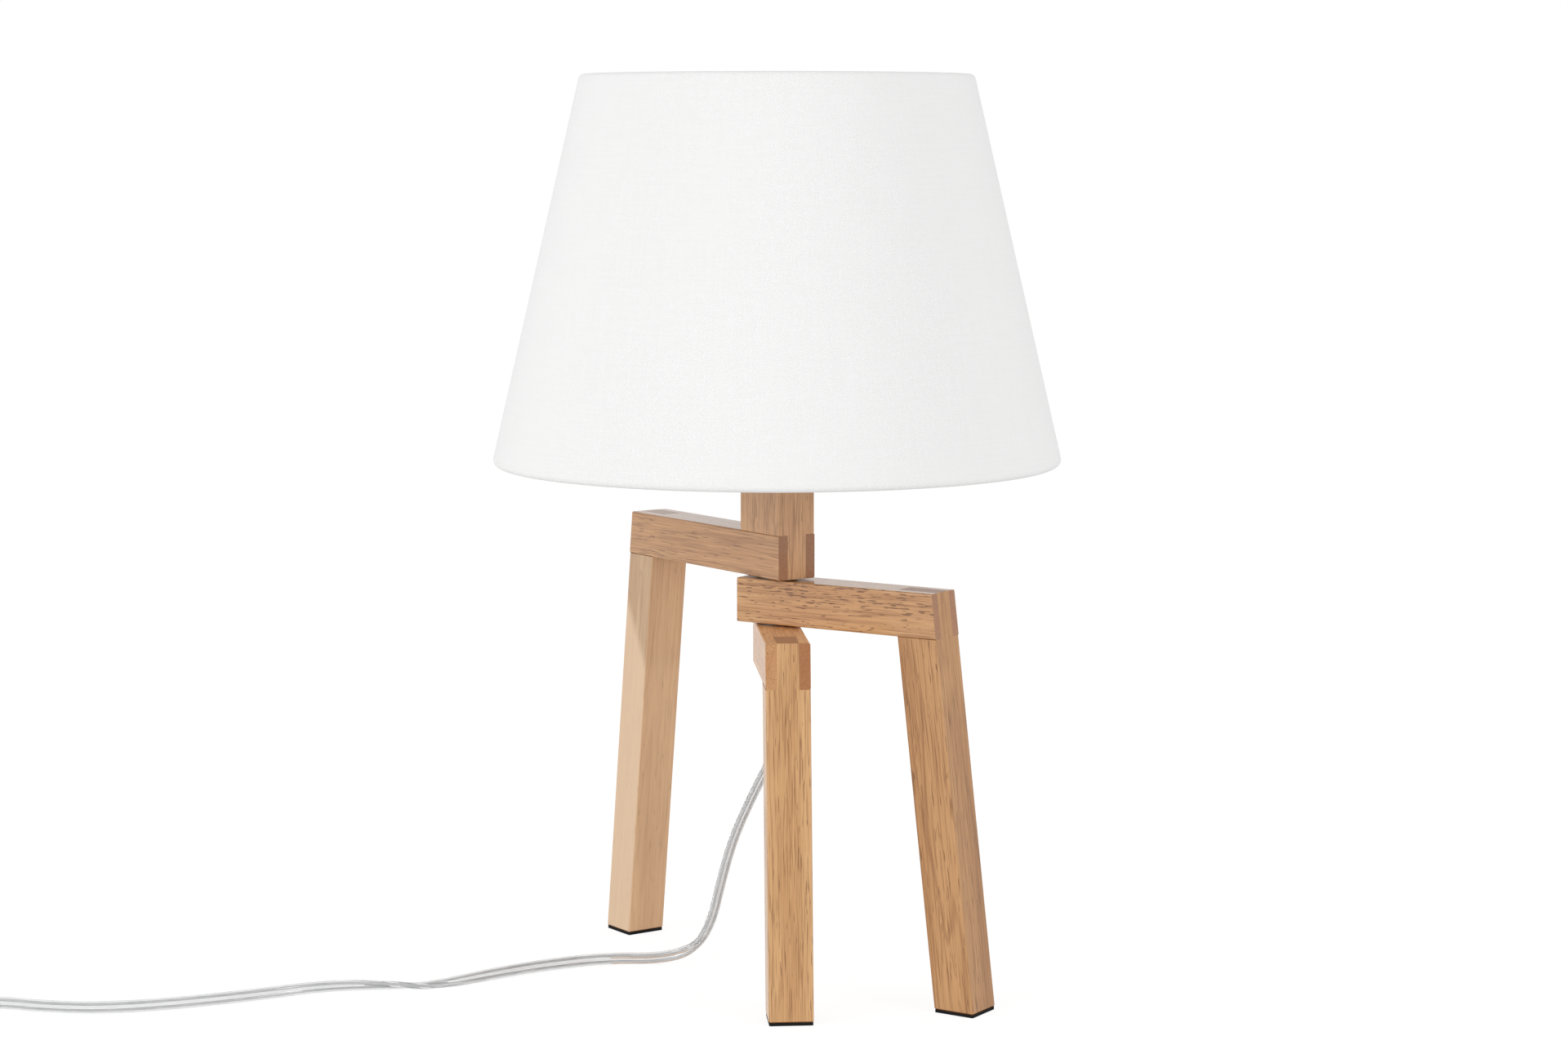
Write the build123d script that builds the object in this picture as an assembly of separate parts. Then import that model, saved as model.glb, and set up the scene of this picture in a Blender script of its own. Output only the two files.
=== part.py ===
"""Bedside lamp: a bridle-jointed wooden stand with nesting, swivelling legs, and a tapered fabric shade.

Millimetres, +Z up. The origin is on the lamp's axis at the surface that it stands on.
+X is to the right and +Y away from the viewer, as the lamp is pictured.
"""
from build123d import *
from math import atan2, cos, degrees, pi, radians, sin, sqrt, tan
import os

# Wooden stand
BEAM_WIDTH = 20.0
ARM_HEIGHT = 20.4
LEG_DEPTH = 20.0
LEG_SPLAY = 6.9
ARM_TOP_Z = 210.0
POST_DEPTH = 31.0
POST_TOP_Z = 262.0
TENON_WIDTH = 10.0
EDGE_RADIUS = 0.8
TOP_AZIMUTH = 125.1
TOP_REACH = 107.5
MIDDLE_AZIMUTH = -33.4
MIDDLE_REACH = 88.3
LOWER_AZIMUTH = -85.5
LOWER_REACH = 62.0
PAD_THICKNESS = 1.4
PAD_INSET = 0.2

# Threaded tube that clamps the stack of arms, and its hardware
TUBE_D = 8.0
TUBE_BORE = 6.0
TUBE_CLEARANCE = 0.05
TUBE_INTO_CAP = 9.0
TUBE_INTO_GRIP = 12.0
SWIVEL_WASHER_D = 18.0
SWIVEL_WASHER_THICKNESS = 0.8
CLAMP_WASHER_D = 16.0
CLAMP_WASHER_THICKNESS = 1.2
NUT_ACROSS_FLATS = 13.0
NUT_HEIGHT = 5.0
NUT_BEVEL = 0.7
NUT_RECESS_CLEARANCE = 0.2
NUT_RECESS_DEPTH = 6.6

# Cord grip under the stand
GRIP_D = 14.0
GRIP_TIP_D = 13.2
GRIP_LENGTH = 20.1
GRIP_TIP_RADIUS = 1.0
GRIP_SCREW_D = 3.0
GRIP_SCREW_HEIGHT = 4.0
GRIP_SCREW_SLOT = 0.8

# Lampholder for a 27 mm Edison screw
CAP_NECK_R = 9.5
CAP_NECK_HEIGHT = 6.0
CAP_RIM_HEIGHT = 9.0
CAP_HEIGHT = 24.0
HOLDER_R = 20.0
HOLDER_WALL = 2.2
SHELL_HEIGHT = 34.0
SHELL_FLANGE_R = 24.0
SHELL_FLANGE_HEIGHT = 2.0
SHELL_LIP_HEIGHT = 2.0
INSERT_DEPTH = 6.0
SOCKET_R = 13.2
SOCKET_WALL = 0.5
SOCKET_LENGTH = 24.0
CONTACT_WIDTH = 5.0
CONTACT_LENGTH = 9.0
CONTACT_THICKNESS = 0.5
CONTACT_RISE = 3.5
SEAT_CLEARANCE = 0.1

# Shade and its wire frame
SHADE_BOTTOM_R = 130.0
SHADE_TOP_R = 89.0
SHADE_BOTTOM_Z = 241.5
SHADE_HEIGHT = 176.2
SHADE_SKIN = 0.8
SHADE_WIRE_D = 2.6
WIRE_CLEARANCE = 0.6
FITTER_R = 27.0
FITTER_THICKNESS = 1.6
CLAMP_RING_R = 25.5
CLAMP_RING_HEIGHT = 8.0
CLAMP_RING_GRIPS = 12
SPOKE_COUNT = 3
SPOKE_AZIMUTH = 30.0

# Flat twin cord, drawn as a six-sided tube of its width
CORD_D = 5.5
CORD_SIDES = 6
CORD_CLEARANCE = 0.15
CORD_FLOOR_Z = 2.8

# In-line rocker switch
SWITCH_X = -387.0
SWITCH_Y = -66.0
SWITCH_LENGTH = 62.0
SWITCH_WIDTH = 24.0
SWITCH_END_WIDTH = 12.0
SWITCH_HEIGHT = 15.0
SWITCH_SPLIT_Z = 6.5
SWITCH_EDGE_RADIUS = 1.8
SWITCH_BASE_BEVEL = 1.2
SWITCH_FLOOR = 2.0
CORD_INTO_SWITCH = 6.0
SWITCH_APPROACH = 12.0
ROCKER_LENGTH = 18.0
ROCKER_WIDTH = 10.4
ROCKER_RISE = 5.8
ROCKER_DISH = 1.4
ROCKER_BODY = 4.4
ROCKER_HUB_WALL = 1.6
ROCKER_TILT = 7.0
ROCKER_CLEARANCE = 0.4
ROCKER_SIDE_CLEARANCE = 0.3
ROCKER_PIVOT_Z = 9.6
PIVOT_D = 2.0
PIVOT_CLEARANCE = 0.04
PIVOT_SEAT = 2.0
SWITCH_SCREW_D = 2.5
SWITCH_SCREW_HEAD_D = 4.6
SWITCH_SCREW_HEAD = 1.8
SWITCH_SCREW_SINK = 0.5
SWITCH_SCREW_BITE = 5.0
SWITCH_SCREW_OFFSET = (21.0, 5.6)

# Put-away coil, its tie and the plug
COIL_OUTER_R = 39.5
COIL_CLIMB_R = 20.4
COIL_PITCH = 6.0
COIL_HALF_TURNS = 6
COIL_LEAD_IN = 38.0
COIL_LEAD_OUT = 26.0
TIE_THICKNESS = 1.0
TIE_WIDTH = 9.0
TIE_CLEARANCE = 0.3
PLUG_LENGTH = 36.0
PLUG_WIDTH = 26.0
PLUG_TAIL_WIDTH = 11.0
PLUG_TAIL_LENGTH = 11.0
PLUG_HEAD_LENGTH = 11.0
PLUG_THICKNESS = 14.4
PLUG_EDGE_RADIUS = 2.0
PLUG_BEVEL = 1.6
CORD_INTO_PLUG = 6.0
PIN_D = 4.0
PIN_LENGTH = 19.0
PIN_SPACING = 18.2
PIN_SEAT = 5.0
PIN_TIP_BEVEL = 1.0

# Heights and places that follow from the sizes above
tube_hole_r = TUBE_D / 2 + TUBE_CLEARANCE
overhang = POST_DEPTH / 2
end_chamfer = 0.7 * EDGE_RADIUS
level_step = ARM_HEIGHT + SWIVEL_WASHER_THICKNESS
top_level = ARM_TOP_Z
middle_level = top_level - level_step
lower_level = middle_level - level_step
stack_bottom = lower_level - ARM_HEIGHT
recess_r = CLAMP_WASHER_D / 2 + NUT_RECESS_CLEARANCE
clamp_washer_z = stack_bottom + NUT_RECESS_DEPTH - CLAMP_WASHER_THICKNESS
nut_z = clamp_washer_z - NUT_HEIGHT
grip_bottom = nut_z - GRIP_LENGTH
cap_top = POST_TOP_Z + CAP_HEIGHT
shell_top = cap_top + SHELL_HEIGHT
fitter_z = cap_top + SHELL_FLANGE_HEIGHT
clamp_ring_z = fitter_z + FITTER_THICKNESS
socket_top = shell_top - SHELL_LIP_HEIGHT
socket_bottom = socket_top - SOCKET_LENGTH
cord_hole_r = CORD_D / 2 + CORD_CLEARANCE
switch_half = SWITCH_LENGTH / 2
coil_floor = TIE_THICKNESS + TIE_CLEARANCE + CORD_D / 2
coil_x = SWITCH_X - switch_half - CORD_D - COIL_LEAD_IN
coil_y = SWITCH_Y + COIL_OUTER_R
plug_x = coil_x + COIL_LEAD_OUT + CORD_D
plug_y = coil_y + COIL_OUTER_R
plug_z = PLUG_THICKNESS / 2

# Route of the free cord, from the grip to the switch: it drops behind the front leg,
# lands left of the axis and runs off to the left
LEAD_ROUTE = [
    (0, 0, grip_bottom),
    (0, 0, 109.5),
    (-10.5, 5.5, 88),
    (-20.5, 10, 65),
    (-26.5, 16, 42),
    (-31, 20, 22),
    (-38.5, 24, 9),
    (-54, 29, CORD_FLOOR_Z),
    (-80, 30, CORD_FLOOR_Z),
    (-106, 19, CORD_FLOOR_Z),
    (-131, 2, CORD_FLOOR_Z),
    (-154, -15.5, CORD_FLOOR_Z),
    (-178, -18.5, CORD_FLOOR_Z),
    (-208, -22, CORD_FLOOR_Z),
    (-236, -38, CORD_FLOOR_Z),
    (-268, -52, CORD_FLOOR_Z),
    (-299, -61.5, CORD_FLOOR_Z),
    (-326, -65, 4.4),
    (SWITCH_X + switch_half + SWITCH_APPROACH, SWITCH_Y, SWITCH_SPLIT_Z),
    (SWITCH_X + switch_half - CORD_INTO_SWITCH, SWITCH_Y, SWITCH_SPLIT_Z),
]


def disc(radius, low, high, bore=0.0):
    """An upright round plate on the lamp's axis, with an optional bore."""
    plate = Pos(0, 0, low) * extrude(Circle(radius), amount=high - low)
    if bore:
        plate -= Pos(0, 0, low) * extrude(Circle(bore), amount=high - low)
    return plate


def turned(*points):
    """A body turned about the lamp's axis from a closed outline of (radius, height) points."""
    outline = make_face(Polyline(*points, close=True))
    return revolve(Plane.XZ * outline, axis=Axis.Z)


def slab(points, width):
    """An outline in the leg's own radial plane, given thickness to both sides of it."""
    outline = make_face(Polyline(*points, close=True))
    return extrude(Plane.XZ * outline, amount=width / 2, both=True)


class LegFrame:
    """One arm of the stand with its splayed leg, in its own radial plane along +X."""

    def __init__(self, azimuth, reach, level):
        self.azimuth, self.reach, self.level = azimuth, reach, level
        self.underside = level - ARM_HEIGHT

    def outer(self, z):
        """Reach of the leg's outer face at a height."""
        return self.reach + (self.level - z) * tan(radians(LEG_SPLAY))

    def inner(self, z):
        """Reach of the leg's inner face at a height."""
        return self.outer(z) - LEG_DEPTH / cos(radians(LEG_SPLAY))

    def leg_slab(self, low, high, width):
        """A stretch of the splayed leg between two heights."""
        foot = [(self.inner(low), low), (self.outer(low), low)]
        head = [(self.outer(high), high), (self.inner(high), high)]
        return slab(foot + head, width)

    def turn(self, part):
        """The part swung to the leg frame's direction."""
        return Rot(0, 0, self.azimuth) * part

    def arm(self):
        """The arm, forked at its outer end round the leg's tenon, with the tube's bore."""
        outline = [
            (-overhang, self.level),
            (self.reach, self.level),
            (self.outer(self.underside), self.underside),
            (-overhang, self.underside),
        ]
        blank = slab(outline, BEAM_WIDTH)
        blank = fillet(blank.edges().filter_by(Axis.X), EDGE_RADIUS)
        blank -= self.leg_slab(self.underside, self.level, TENON_WIDTH)
        return blank - disc(tube_hole_r, self.underside, self.level)

    def leg(self):
        """The leg, shouldered under the arm, with its tenon flush with the arm's top."""
        down = Axis((0, 0, 0), (sin(radians(LEG_SPLAY)), 0, -cos(radians(LEG_SPLAY))))
        shaft = self.leg_slab(PAD_THICKNESS, self.underside, BEAM_WIDTH)
        shaft = fillet(shaft.edges().filter_by(down), EDGE_RADIUS)
        shaft = chamfer(shaft.faces().sort_by(Axis.Z)[0].edges(), end_chamfer)
        return shaft + self.leg_slab(self.underside, self.level, TENON_WIDTH)

    def pad(self):
        """The thin pad under the foot, set in from the leg's faces."""
        low, high = self.inner(PAD_THICKNESS) + PAD_INSET, self.outer(PAD_THICKNESS) - PAD_INSET
        width = BEAM_WIDTH - 2 * PAD_INSET
        sheet = Pos((low + high) / 2, 0) * RectangleRounded(high - low, width, EDGE_RADIUS)
        return extrude(sheet, amount=PAD_THICKNESS)


top = LegFrame(TOP_AZIMUTH, TOP_REACH, top_level)
middle = LegFrame(MIDDLE_AZIMUTH, MIDDLE_REACH, middle_level)
lower = LegFrame(LOWER_AZIMUTH, LOWER_REACH, lower_level)


def post_tenon():
    """The tongue of the post that fills the top arm's inner fork."""
    tongue = Box(POST_DEPTH, TENON_WIDTH, ARM_HEIGHT, align=(Align.CENTER, Align.CENTER, Align.MAX))
    return Pos(0, 0, top_level) * tongue


def post():
    """The upright, tenoned down through the top arm and bored for the tube."""
    standing = (Align.CENTER, Align.CENTER, Align.MIN)
    upright = Box(POST_DEPTH, BEAM_WIDTH, POST_TOP_Z - top_level, align=standing)
    upright = Pos(0, 0, top_level) * upright
    upright = fillet(upright.edges().filter_by(Axis.Z), EDGE_RADIUS)
    upright = chamfer(upright.faces().sort_by(Axis.Z)[-1].edges(), end_chamfer)
    upright += post_tenon()
    return top.turn(upright - disc(tube_hole_r, top.underside, POST_TOP_Z))


def wooden_stand():
    """Arms, legs and foot pads of the three leg frames, and the post."""
    lower_recess = disc(recess_r, stack_bottom, stack_bottom + NUT_RECESS_DEPTH)
    made = {
        "post": post(),
        "top_arm": top.turn(top.arm() - post_tenon()),
        "middle_arm": middle.turn(middle.arm()),
        "lower_arm": lower.turn(lower.arm() - lower_recess),
    }
    for name, frame in (("top", top), ("middle", middle), ("lower", lower)):
        made[name + "_leg"] = frame.turn(frame.leg())
        made[name + "_foot_pad"] = frame.turn(frame.pad())
    return made


def clamp_hardware():
    """The threaded tube through the stack, its washers and the nut that clamps it."""
    nut_r = NUT_ACROSS_FLATS / 2 / cos(pi / 6)
    nut = Pos(0, 0, nut_z) * extrude(RegularPolygon(nut_r, 6), amount=NUT_HEIGHT)
    bevel = turned(
        (0, nut_z),
        (nut_r - NUT_BEVEL, nut_z),
        (nut_r, nut_z + NUT_BEVEL),
        (nut_r, nut_z + NUT_HEIGHT),
        (0, nut_z + NUT_HEIGHT),
    )
    nut = (nut & bevel) - disc(tube_hole_r, nut_z, nut_z + NUT_HEIGHT)
    washer = disc(SWIVEL_WASHER_D / 2, 0, SWIVEL_WASHER_THICKNESS, tube_hole_r)
    return {
        "centre_tube": disc(TUBE_D / 2, nut_z - TUBE_INTO_GRIP, POST_TOP_Z + TUBE_INTO_CAP, TUBE_BORE / 2),
        "upper_swivel_washer": Pos(0, 0, middle_level) * washer,
        "lower_swivel_washer": Pos(0, 0, lower_level) * washer,
        "clamp_washer": disc(
            CLAMP_WASHER_D / 2, clamp_washer_z, clamp_washer_z + CLAMP_WASHER_THICKNESS, tube_hole_r
        ),
        "clamp_nut": nut,
    }


def cord_grip():
    """The tapered sleeve screwed on the tube's lower end, and the screw that pinches the cord in it."""
    tip = turned(
        (0, nut_z),
        (GRIP_D / 2, nut_z),
        (GRIP_TIP_D / 2, grip_bottom),
        (0, grip_bottom),
    )
    tip = fillet(tip.faces().sort_by(Axis.Z)[0].edges(), GRIP_TIP_RADIUS)
    tip -= disc(tube_hole_r, nut_z - TUBE_INTO_GRIP, nut_z)
    tip -= disc(cord_hole_r, grip_bottom, nut_z)
    screw_plane = Plane((0, 0, grip_bottom + GRIP_SCREW_HEIGHT), z_dir=(0, 1, 0))
    screw_end = GRIP_TIP_D / 2 - GRIP_SCREW_SLOT / 2
    rod = screw_plane * extrude(Circle(GRIP_SCREW_D / 2), amount=screw_end)
    rod -= disc(cord_hole_r, grip_bottom, nut_z)
    slot = screw_plane * Pos(0, 0, screw_end) * Box(GRIP_SCREW_D, GRIP_SCREW_SLOT, GRIP_SCREW_SLOT * 2)
    tip -= screw_plane * extrude(Circle(GRIP_SCREW_D / 2), amount=GRIP_D)
    return {"cord_grip": tip, "cord_grip_screw": rod - slot}


def lampholder():
    """Cap, skirted shell, insert, threaded sleeve and centre contact of the lampholder."""
    cap = turned(
        (tube_hole_r, POST_TOP_Z),
        (CAP_NECK_R, POST_TOP_Z),
        (CAP_NECK_R, POST_TOP_Z + CAP_NECK_HEIGHT),
        (HOLDER_R, cap_top - CAP_RIM_HEIGHT),
        (HOLDER_R, cap_top),
        (HOLDER_R - HOLDER_WALL, cap_top),
        (HOLDER_R - HOLDER_WALL, cap_top - CAP_RIM_HEIGHT + HOLDER_WALL / 2),
        (CAP_NECK_R, POST_TOP_Z + TUBE_INTO_CAP + HOLDER_WALL),
        (tube_hole_r, POST_TOP_Z + TUBE_INTO_CAP),
    )
    lip_r = SOCKET_R + SOCKET_WALL + SEAT_CLEARANCE
    shell = turned(
        (HOLDER_R - HOLDER_WALL, cap_top),
        (SHELL_FLANGE_R, cap_top),
        (SHELL_FLANGE_R, fitter_z),
        (HOLDER_R, fitter_z),
        (HOLDER_R, shell_top - SHELL_LIP_HEIGHT / 2),
        (HOLDER_R - SHELL_LIP_HEIGHT / 2, shell_top),
        (lip_r, shell_top),
        (lip_r, socket_top),
        (HOLDER_R - HOLDER_WALL, socket_top),
    )
    insert_r = HOLDER_R - HOLDER_WALL - SEAT_CLEARANCE
    insert_bottom = socket_bottom - INSERT_DEPTH
    contact_z = socket_bottom - CONTACT_THICKNESS - CONTACT_RISE - SEAT_CLEARANCE
    well_r = sqrt(CONTACT_LENGTH**2 + CONTACT_WIDTH**2) / 2 + SEAT_CLEARANCE
    insert = disc(insert_r, insert_bottom, socket_bottom) - disc(well_r, contact_z, socket_bottom)
    sleeve = disc(SOCKET_R + SOCKET_WALL, socket_bottom, socket_top, SOCKET_R)
    half = CONTACT_LENGTH / 2
    tongue = slab(
        [
            (-half, contact_z),
            (-half / 3, contact_z),
            (half, contact_z + CONTACT_RISE),
            (half, contact_z + CONTACT_RISE + CONTACT_THICKNESS),
            (-half / 3, contact_z + CONTACT_THICKNESS),
            (-half, contact_z + CONTACT_THICKNESS),
        ],
        CONTACT_WIDTH,
    )
    return {
        "holder_cap": cap,
        "holder_shell": shell,
        "socket_insert": insert,
        "thread_sleeve": sleeve,
        "centre_contact": tongue,
    }


# The skin rolls round a wire ring at each rim, so the rings' centres follow from the cone's outer line
roll_inner = SHADE_WIRE_D / 2 + WIRE_CLEARANCE
roll_outer = roll_inner + SHADE_SKIN
cone_angle = degrees(atan2(SHADE_BOTTOM_R - SHADE_TOP_R, SHADE_HEIGHT))
cone_out = Vector(cos(radians(cone_angle)), sin(radians(cone_angle)))


def ring_centre(height):
    """Centre of a rim's wire (radius, height), one roll inside the cone's outer line."""
    line_r = SHADE_BOTTOM_R - (height - SHADE_BOTTOM_Z) * tan(radians(cone_angle))
    return Vector(line_r - roll_outer / cos(radians(cone_angle)), height)


bottom_ring = ring_centre(SHADE_BOTTOM_Z + roll_outer)
top_ring = ring_centre(SHADE_BOTTOM_Z + SHADE_HEIGHT - roll_outer)


def shade_skin():
    """The stiffened fabric cone, one sheet rolled half round both wire rings."""
    outline = [
        Line(top_ring + cone_out * roll_outer, bottom_ring + cone_out * roll_outer),
        CenterArc(bottom_ring, roll_outer, cone_angle, -180),
        Line(bottom_ring - cone_out * roll_outer, bottom_ring - cone_out * roll_inner),
        CenterArc(bottom_ring, roll_inner, cone_angle, -180),
        Line(bottom_ring + cone_out * roll_inner, top_ring + cone_out * roll_inner),
        CenterArc(top_ring, roll_inner, cone_angle, 180),
        Line(top_ring - cone_out * roll_inner, top_ring - cone_out * roll_outer),
        CenterArc(top_ring, roll_outer, cone_angle, 180),
    ]
    return revolve(Plane.XZ * make_face(outline), axis=Axis.Z)


def wire_ring(centre, thickness):
    """A closed ring of round wire about the lamp's axis."""
    return Pos(0, 0, centre.Y) * Torus(centre.X, thickness / 2)


def shade():
    """The shade's skin, wire rings and spokes, the fitter ring that carries them, and its clamp ring."""
    ring_hole = HOLDER_R + SEAT_CLEARANCE
    fitter = disc(FITTER_R, fitter_z, clamp_ring_z, ring_hole)
    clamp_top = clamp_ring_z + CLAMP_RING_HEIGHT
    clamp = disc(CLAMP_RING_R, clamp_ring_z, clamp_top, ring_hole)
    notch_r = pi * CLAMP_RING_R / CLAMP_RING_GRIPS / 3
    notch = Pos(0, 0, clamp_ring_z) * extrude(Circle(notch_r), amount=CLAMP_RING_HEIGHT)
    for spot in PolarLocations(CLAMP_RING_R + notch_r / 2, CLAMP_RING_GRIPS):
        clamp -= spot * notch
    skin, ring = shade_skin(), wire_ring(bottom_ring, SHADE_WIRE_D)
    inner_end = Vector(FITTER_R - SHADE_WIRE_D / 2, 0, fitter_z + FITTER_THICKNESS / 2)
    run = Vector(bottom_ring.X, 0, bottom_ring.Y) - inner_end
    rod = Plane(inner_end, z_dir=run) * extrude(Circle(SHADE_WIRE_D / 2), amount=run.length)
    spokes = []
    for count in range(SPOKE_COUNT):
        turned_rod = Rot(0, 0, SPOKE_AZIMUTH + 360 / SPOKE_COUNT * count) * rod
        spokes.append(largest(turned_rod - fitter - ring - skin))
    return {
        "shade_skin": skin,
        "shade_top_ring": wire_ring(top_ring, SHADE_WIRE_D),
        "shade_bottom_ring": ring,
        "shade_spokes": Compound(children=spokes),
        "fitter_ring": fitter,
        "shade_clamp_ring": clamp,
    }


def largest(part):
    """The biggest solid of a cut part."""
    return part.solids().sort_by(SortBy.VOLUME)[-1]


def swept(path, name):
    """The cord along a path, with its length and its volume against section times length."""
    section = RegularPolygon(CORD_D / 2, CORD_SIDES)
    tube = sweep(Plane(path @ 0, z_dir=path % 0) * section, path)
    share = tube.volume / (section.area * path.length)
    print(f"{name}: length {path.length:.1f} mm, volume over section times length {share:.4f}")
    return tube


def cord_lead():
    """The free cord from the grip to the switch: straight runs joined by arcs as large as they allow."""
    corners = [Vector(*point) for point in LEAD_ROUTE]
    runs = [after - before for before, after in zip(corners, corners[1:])]
    radii = []
    for first, second in zip(runs, runs[1:]):
        half_turn = radians(first.get_angle(second)) / 2
        radii.append(0.45 * min(first.length, second.length) / tan(half_turn))
    print("cord_lead radii:", ", ".join(f"{radius:.0f}" for radius in radii))
    return swept(FilletPolyline(*corners, radius=radii), "cord_lead")


def biarc(start, heading, end, arrival):
    """Two tangent arcs from a point and heading to a point and arrival heading."""
    across = end - start
    total = heading + arrival
    slack = 2 * (1 - heading.dot(arrival))
    lean = across.dot(total)
    if slack < 1e-9:
        reach = across.dot(across) / (2 * lean)
    else:
        reach = (sqrt(lean**2 + slack * across.dot(across)) - lean) / slack
    joint = (start + end + (heading - arrival) * reach) * 0.5
    first = TangentArc(start, joint, tangent=heading)
    return [first, TangentArc(joint, end, tangent=first % 1)]


def coil_path():
    """From the switch into a flat spiral, up one layer at its middle, out again and on to the plug."""
    radii = [COIL_OUTER_R - COIL_PITCH / 2 * k for k in range(COIL_HALF_TURNS)] + [COIL_CLIMB_R]
    stops = [(radius, coil_floor) for radius in radii]
    stops += [(radius, coil_floor + COIL_PITCH) for radius in reversed(radii)]
    left, right = Vector(-1, 0, 0), Vector(1, 0, 0)
    points = []
    for count, (radius, height) in enumerate(stops):
        side = -1 if count % 2 == 0 else 1
        points.append(Vector(coil_x, coil_y + side * radius, height))
    switch_end = SWITCH_X - switch_half
    entry = Vector(switch_end - CORD_D, SWITCH_Y, SWITCH_SPLIT_Z)
    edges = [Line(Vector(switch_end + CORD_INTO_SWITCH, SWITCH_Y, SWITCH_SPLIT_Z), entry)]
    edges += biarc(entry, left, points[0], left)
    for count, (start, end) in enumerate(zip(points, points[1:])):
        heading = left if count % 2 == 0 else right
        edges += biarc(start, heading, end, heading * -1)
    leave = Vector(plug_x - CORD_D, plug_y, plug_z)
    edges += biarc(points[-1], right, leave, right)
    edges.append(Line(leave, Vector(plug_x + CORD_INTO_PLUG, plug_y, plug_z)))
    return Wire([part for edge in edges for part in edge.edges()])


def least_gap(path):
    """The least gap of the coiled cord to itself, measured on points along it."""
    step = CORD_D / 4
    count = int(path.length / step)
    points = [path @ (k / count) for k in range(count + 1)]
    apart = int(pi * COIL_CLIMB_R / step)
    nearest = min(
        (points[i] - points[j]).length
        for i in range(count + 1)
        for j in range(i + apart, count + 1)
    )
    return nearest - CORD_D


def cord_coil():
    """The put-away length of the cord and the band that ties its turns."""
    path = coil_path()
    print(f"cord_coil least gap to itself: {least_gap(path):.2f} mm")
    bundle_low = COIL_CLIMB_R - CORD_D / 2 - TIE_CLEARANCE
    bundle_high = COIL_OUTER_R + CORD_D / 2 + TIE_CLEARANCE
    width, middle_r = bundle_high - bundle_low, (bundle_high + bundle_low) / 2
    height = COIL_PITCH + CORD_D + 2 * TIE_CLEARANCE
    corner = CORD_D / 2
    outside = RectangleRounded(width + 2 * TIE_THICKNESS, height + 2 * TIE_THICKNESS, corner + TIE_THICKNESS)
    band = outside - RectangleRounded(width, height, corner)
    tie_centre = (coil_x + middle_r, coil_y, TIE_THICKNESS + height / 2)
    tie_plane = Plane(tie_centre, x_dir=(1, 0, 0), z_dir=(0, 1, 0))
    tie = tie_plane * extrude(band, amount=TIE_WIDTH / 2, both=True)
    return {"cord_coil": swept(path, "cord_coil"), "cord_tie": tie}


def switch_outline():
    """Plan of the switch: bowed sides between blunt ends."""
    half, end = SWITCH_WIDTH / 2, SWITCH_END_WIDTH / 2
    return make_face(
        [
            ThreePointArc((-switch_half, -end), (0, -half), (switch_half, -end)),
            Line((switch_half, -end), (switch_half, end)),
            ThreePointArc((switch_half, end), (0, half), (-switch_half, end)),
            Line((-switch_half, end), (-switch_half, -end)),
        ]
    )


def rocker():
    """The dished rocker with its hub, level, before it is tilted to rest."""
    half = ROCKER_LENGTH / 2
    outline = [(-half, ROCKER_RISE - ROCKER_BODY), (half, ROCKER_RISE - ROCKER_BODY), (half, ROCKER_RISE)]
    outline += [(0, ROCKER_RISE - ROCKER_DISH), (-half, ROCKER_RISE)]
    key = slab(outline, ROCKER_WIDTH)
    hub_plane = Plane((0, 0, 0), z_dir=(0, 1, 0))
    key += hub_plane * extrude(Circle(PIVOT_D / 2 + ROCKER_HUB_WALL), amount=ROCKER_WIDTH / 2, both=True)
    return key - hub_plane * extrude(Circle(PIVOT_D / 2 + PIVOT_CLEARANCE), amount=ROCKER_WIDTH, both=True)


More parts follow.
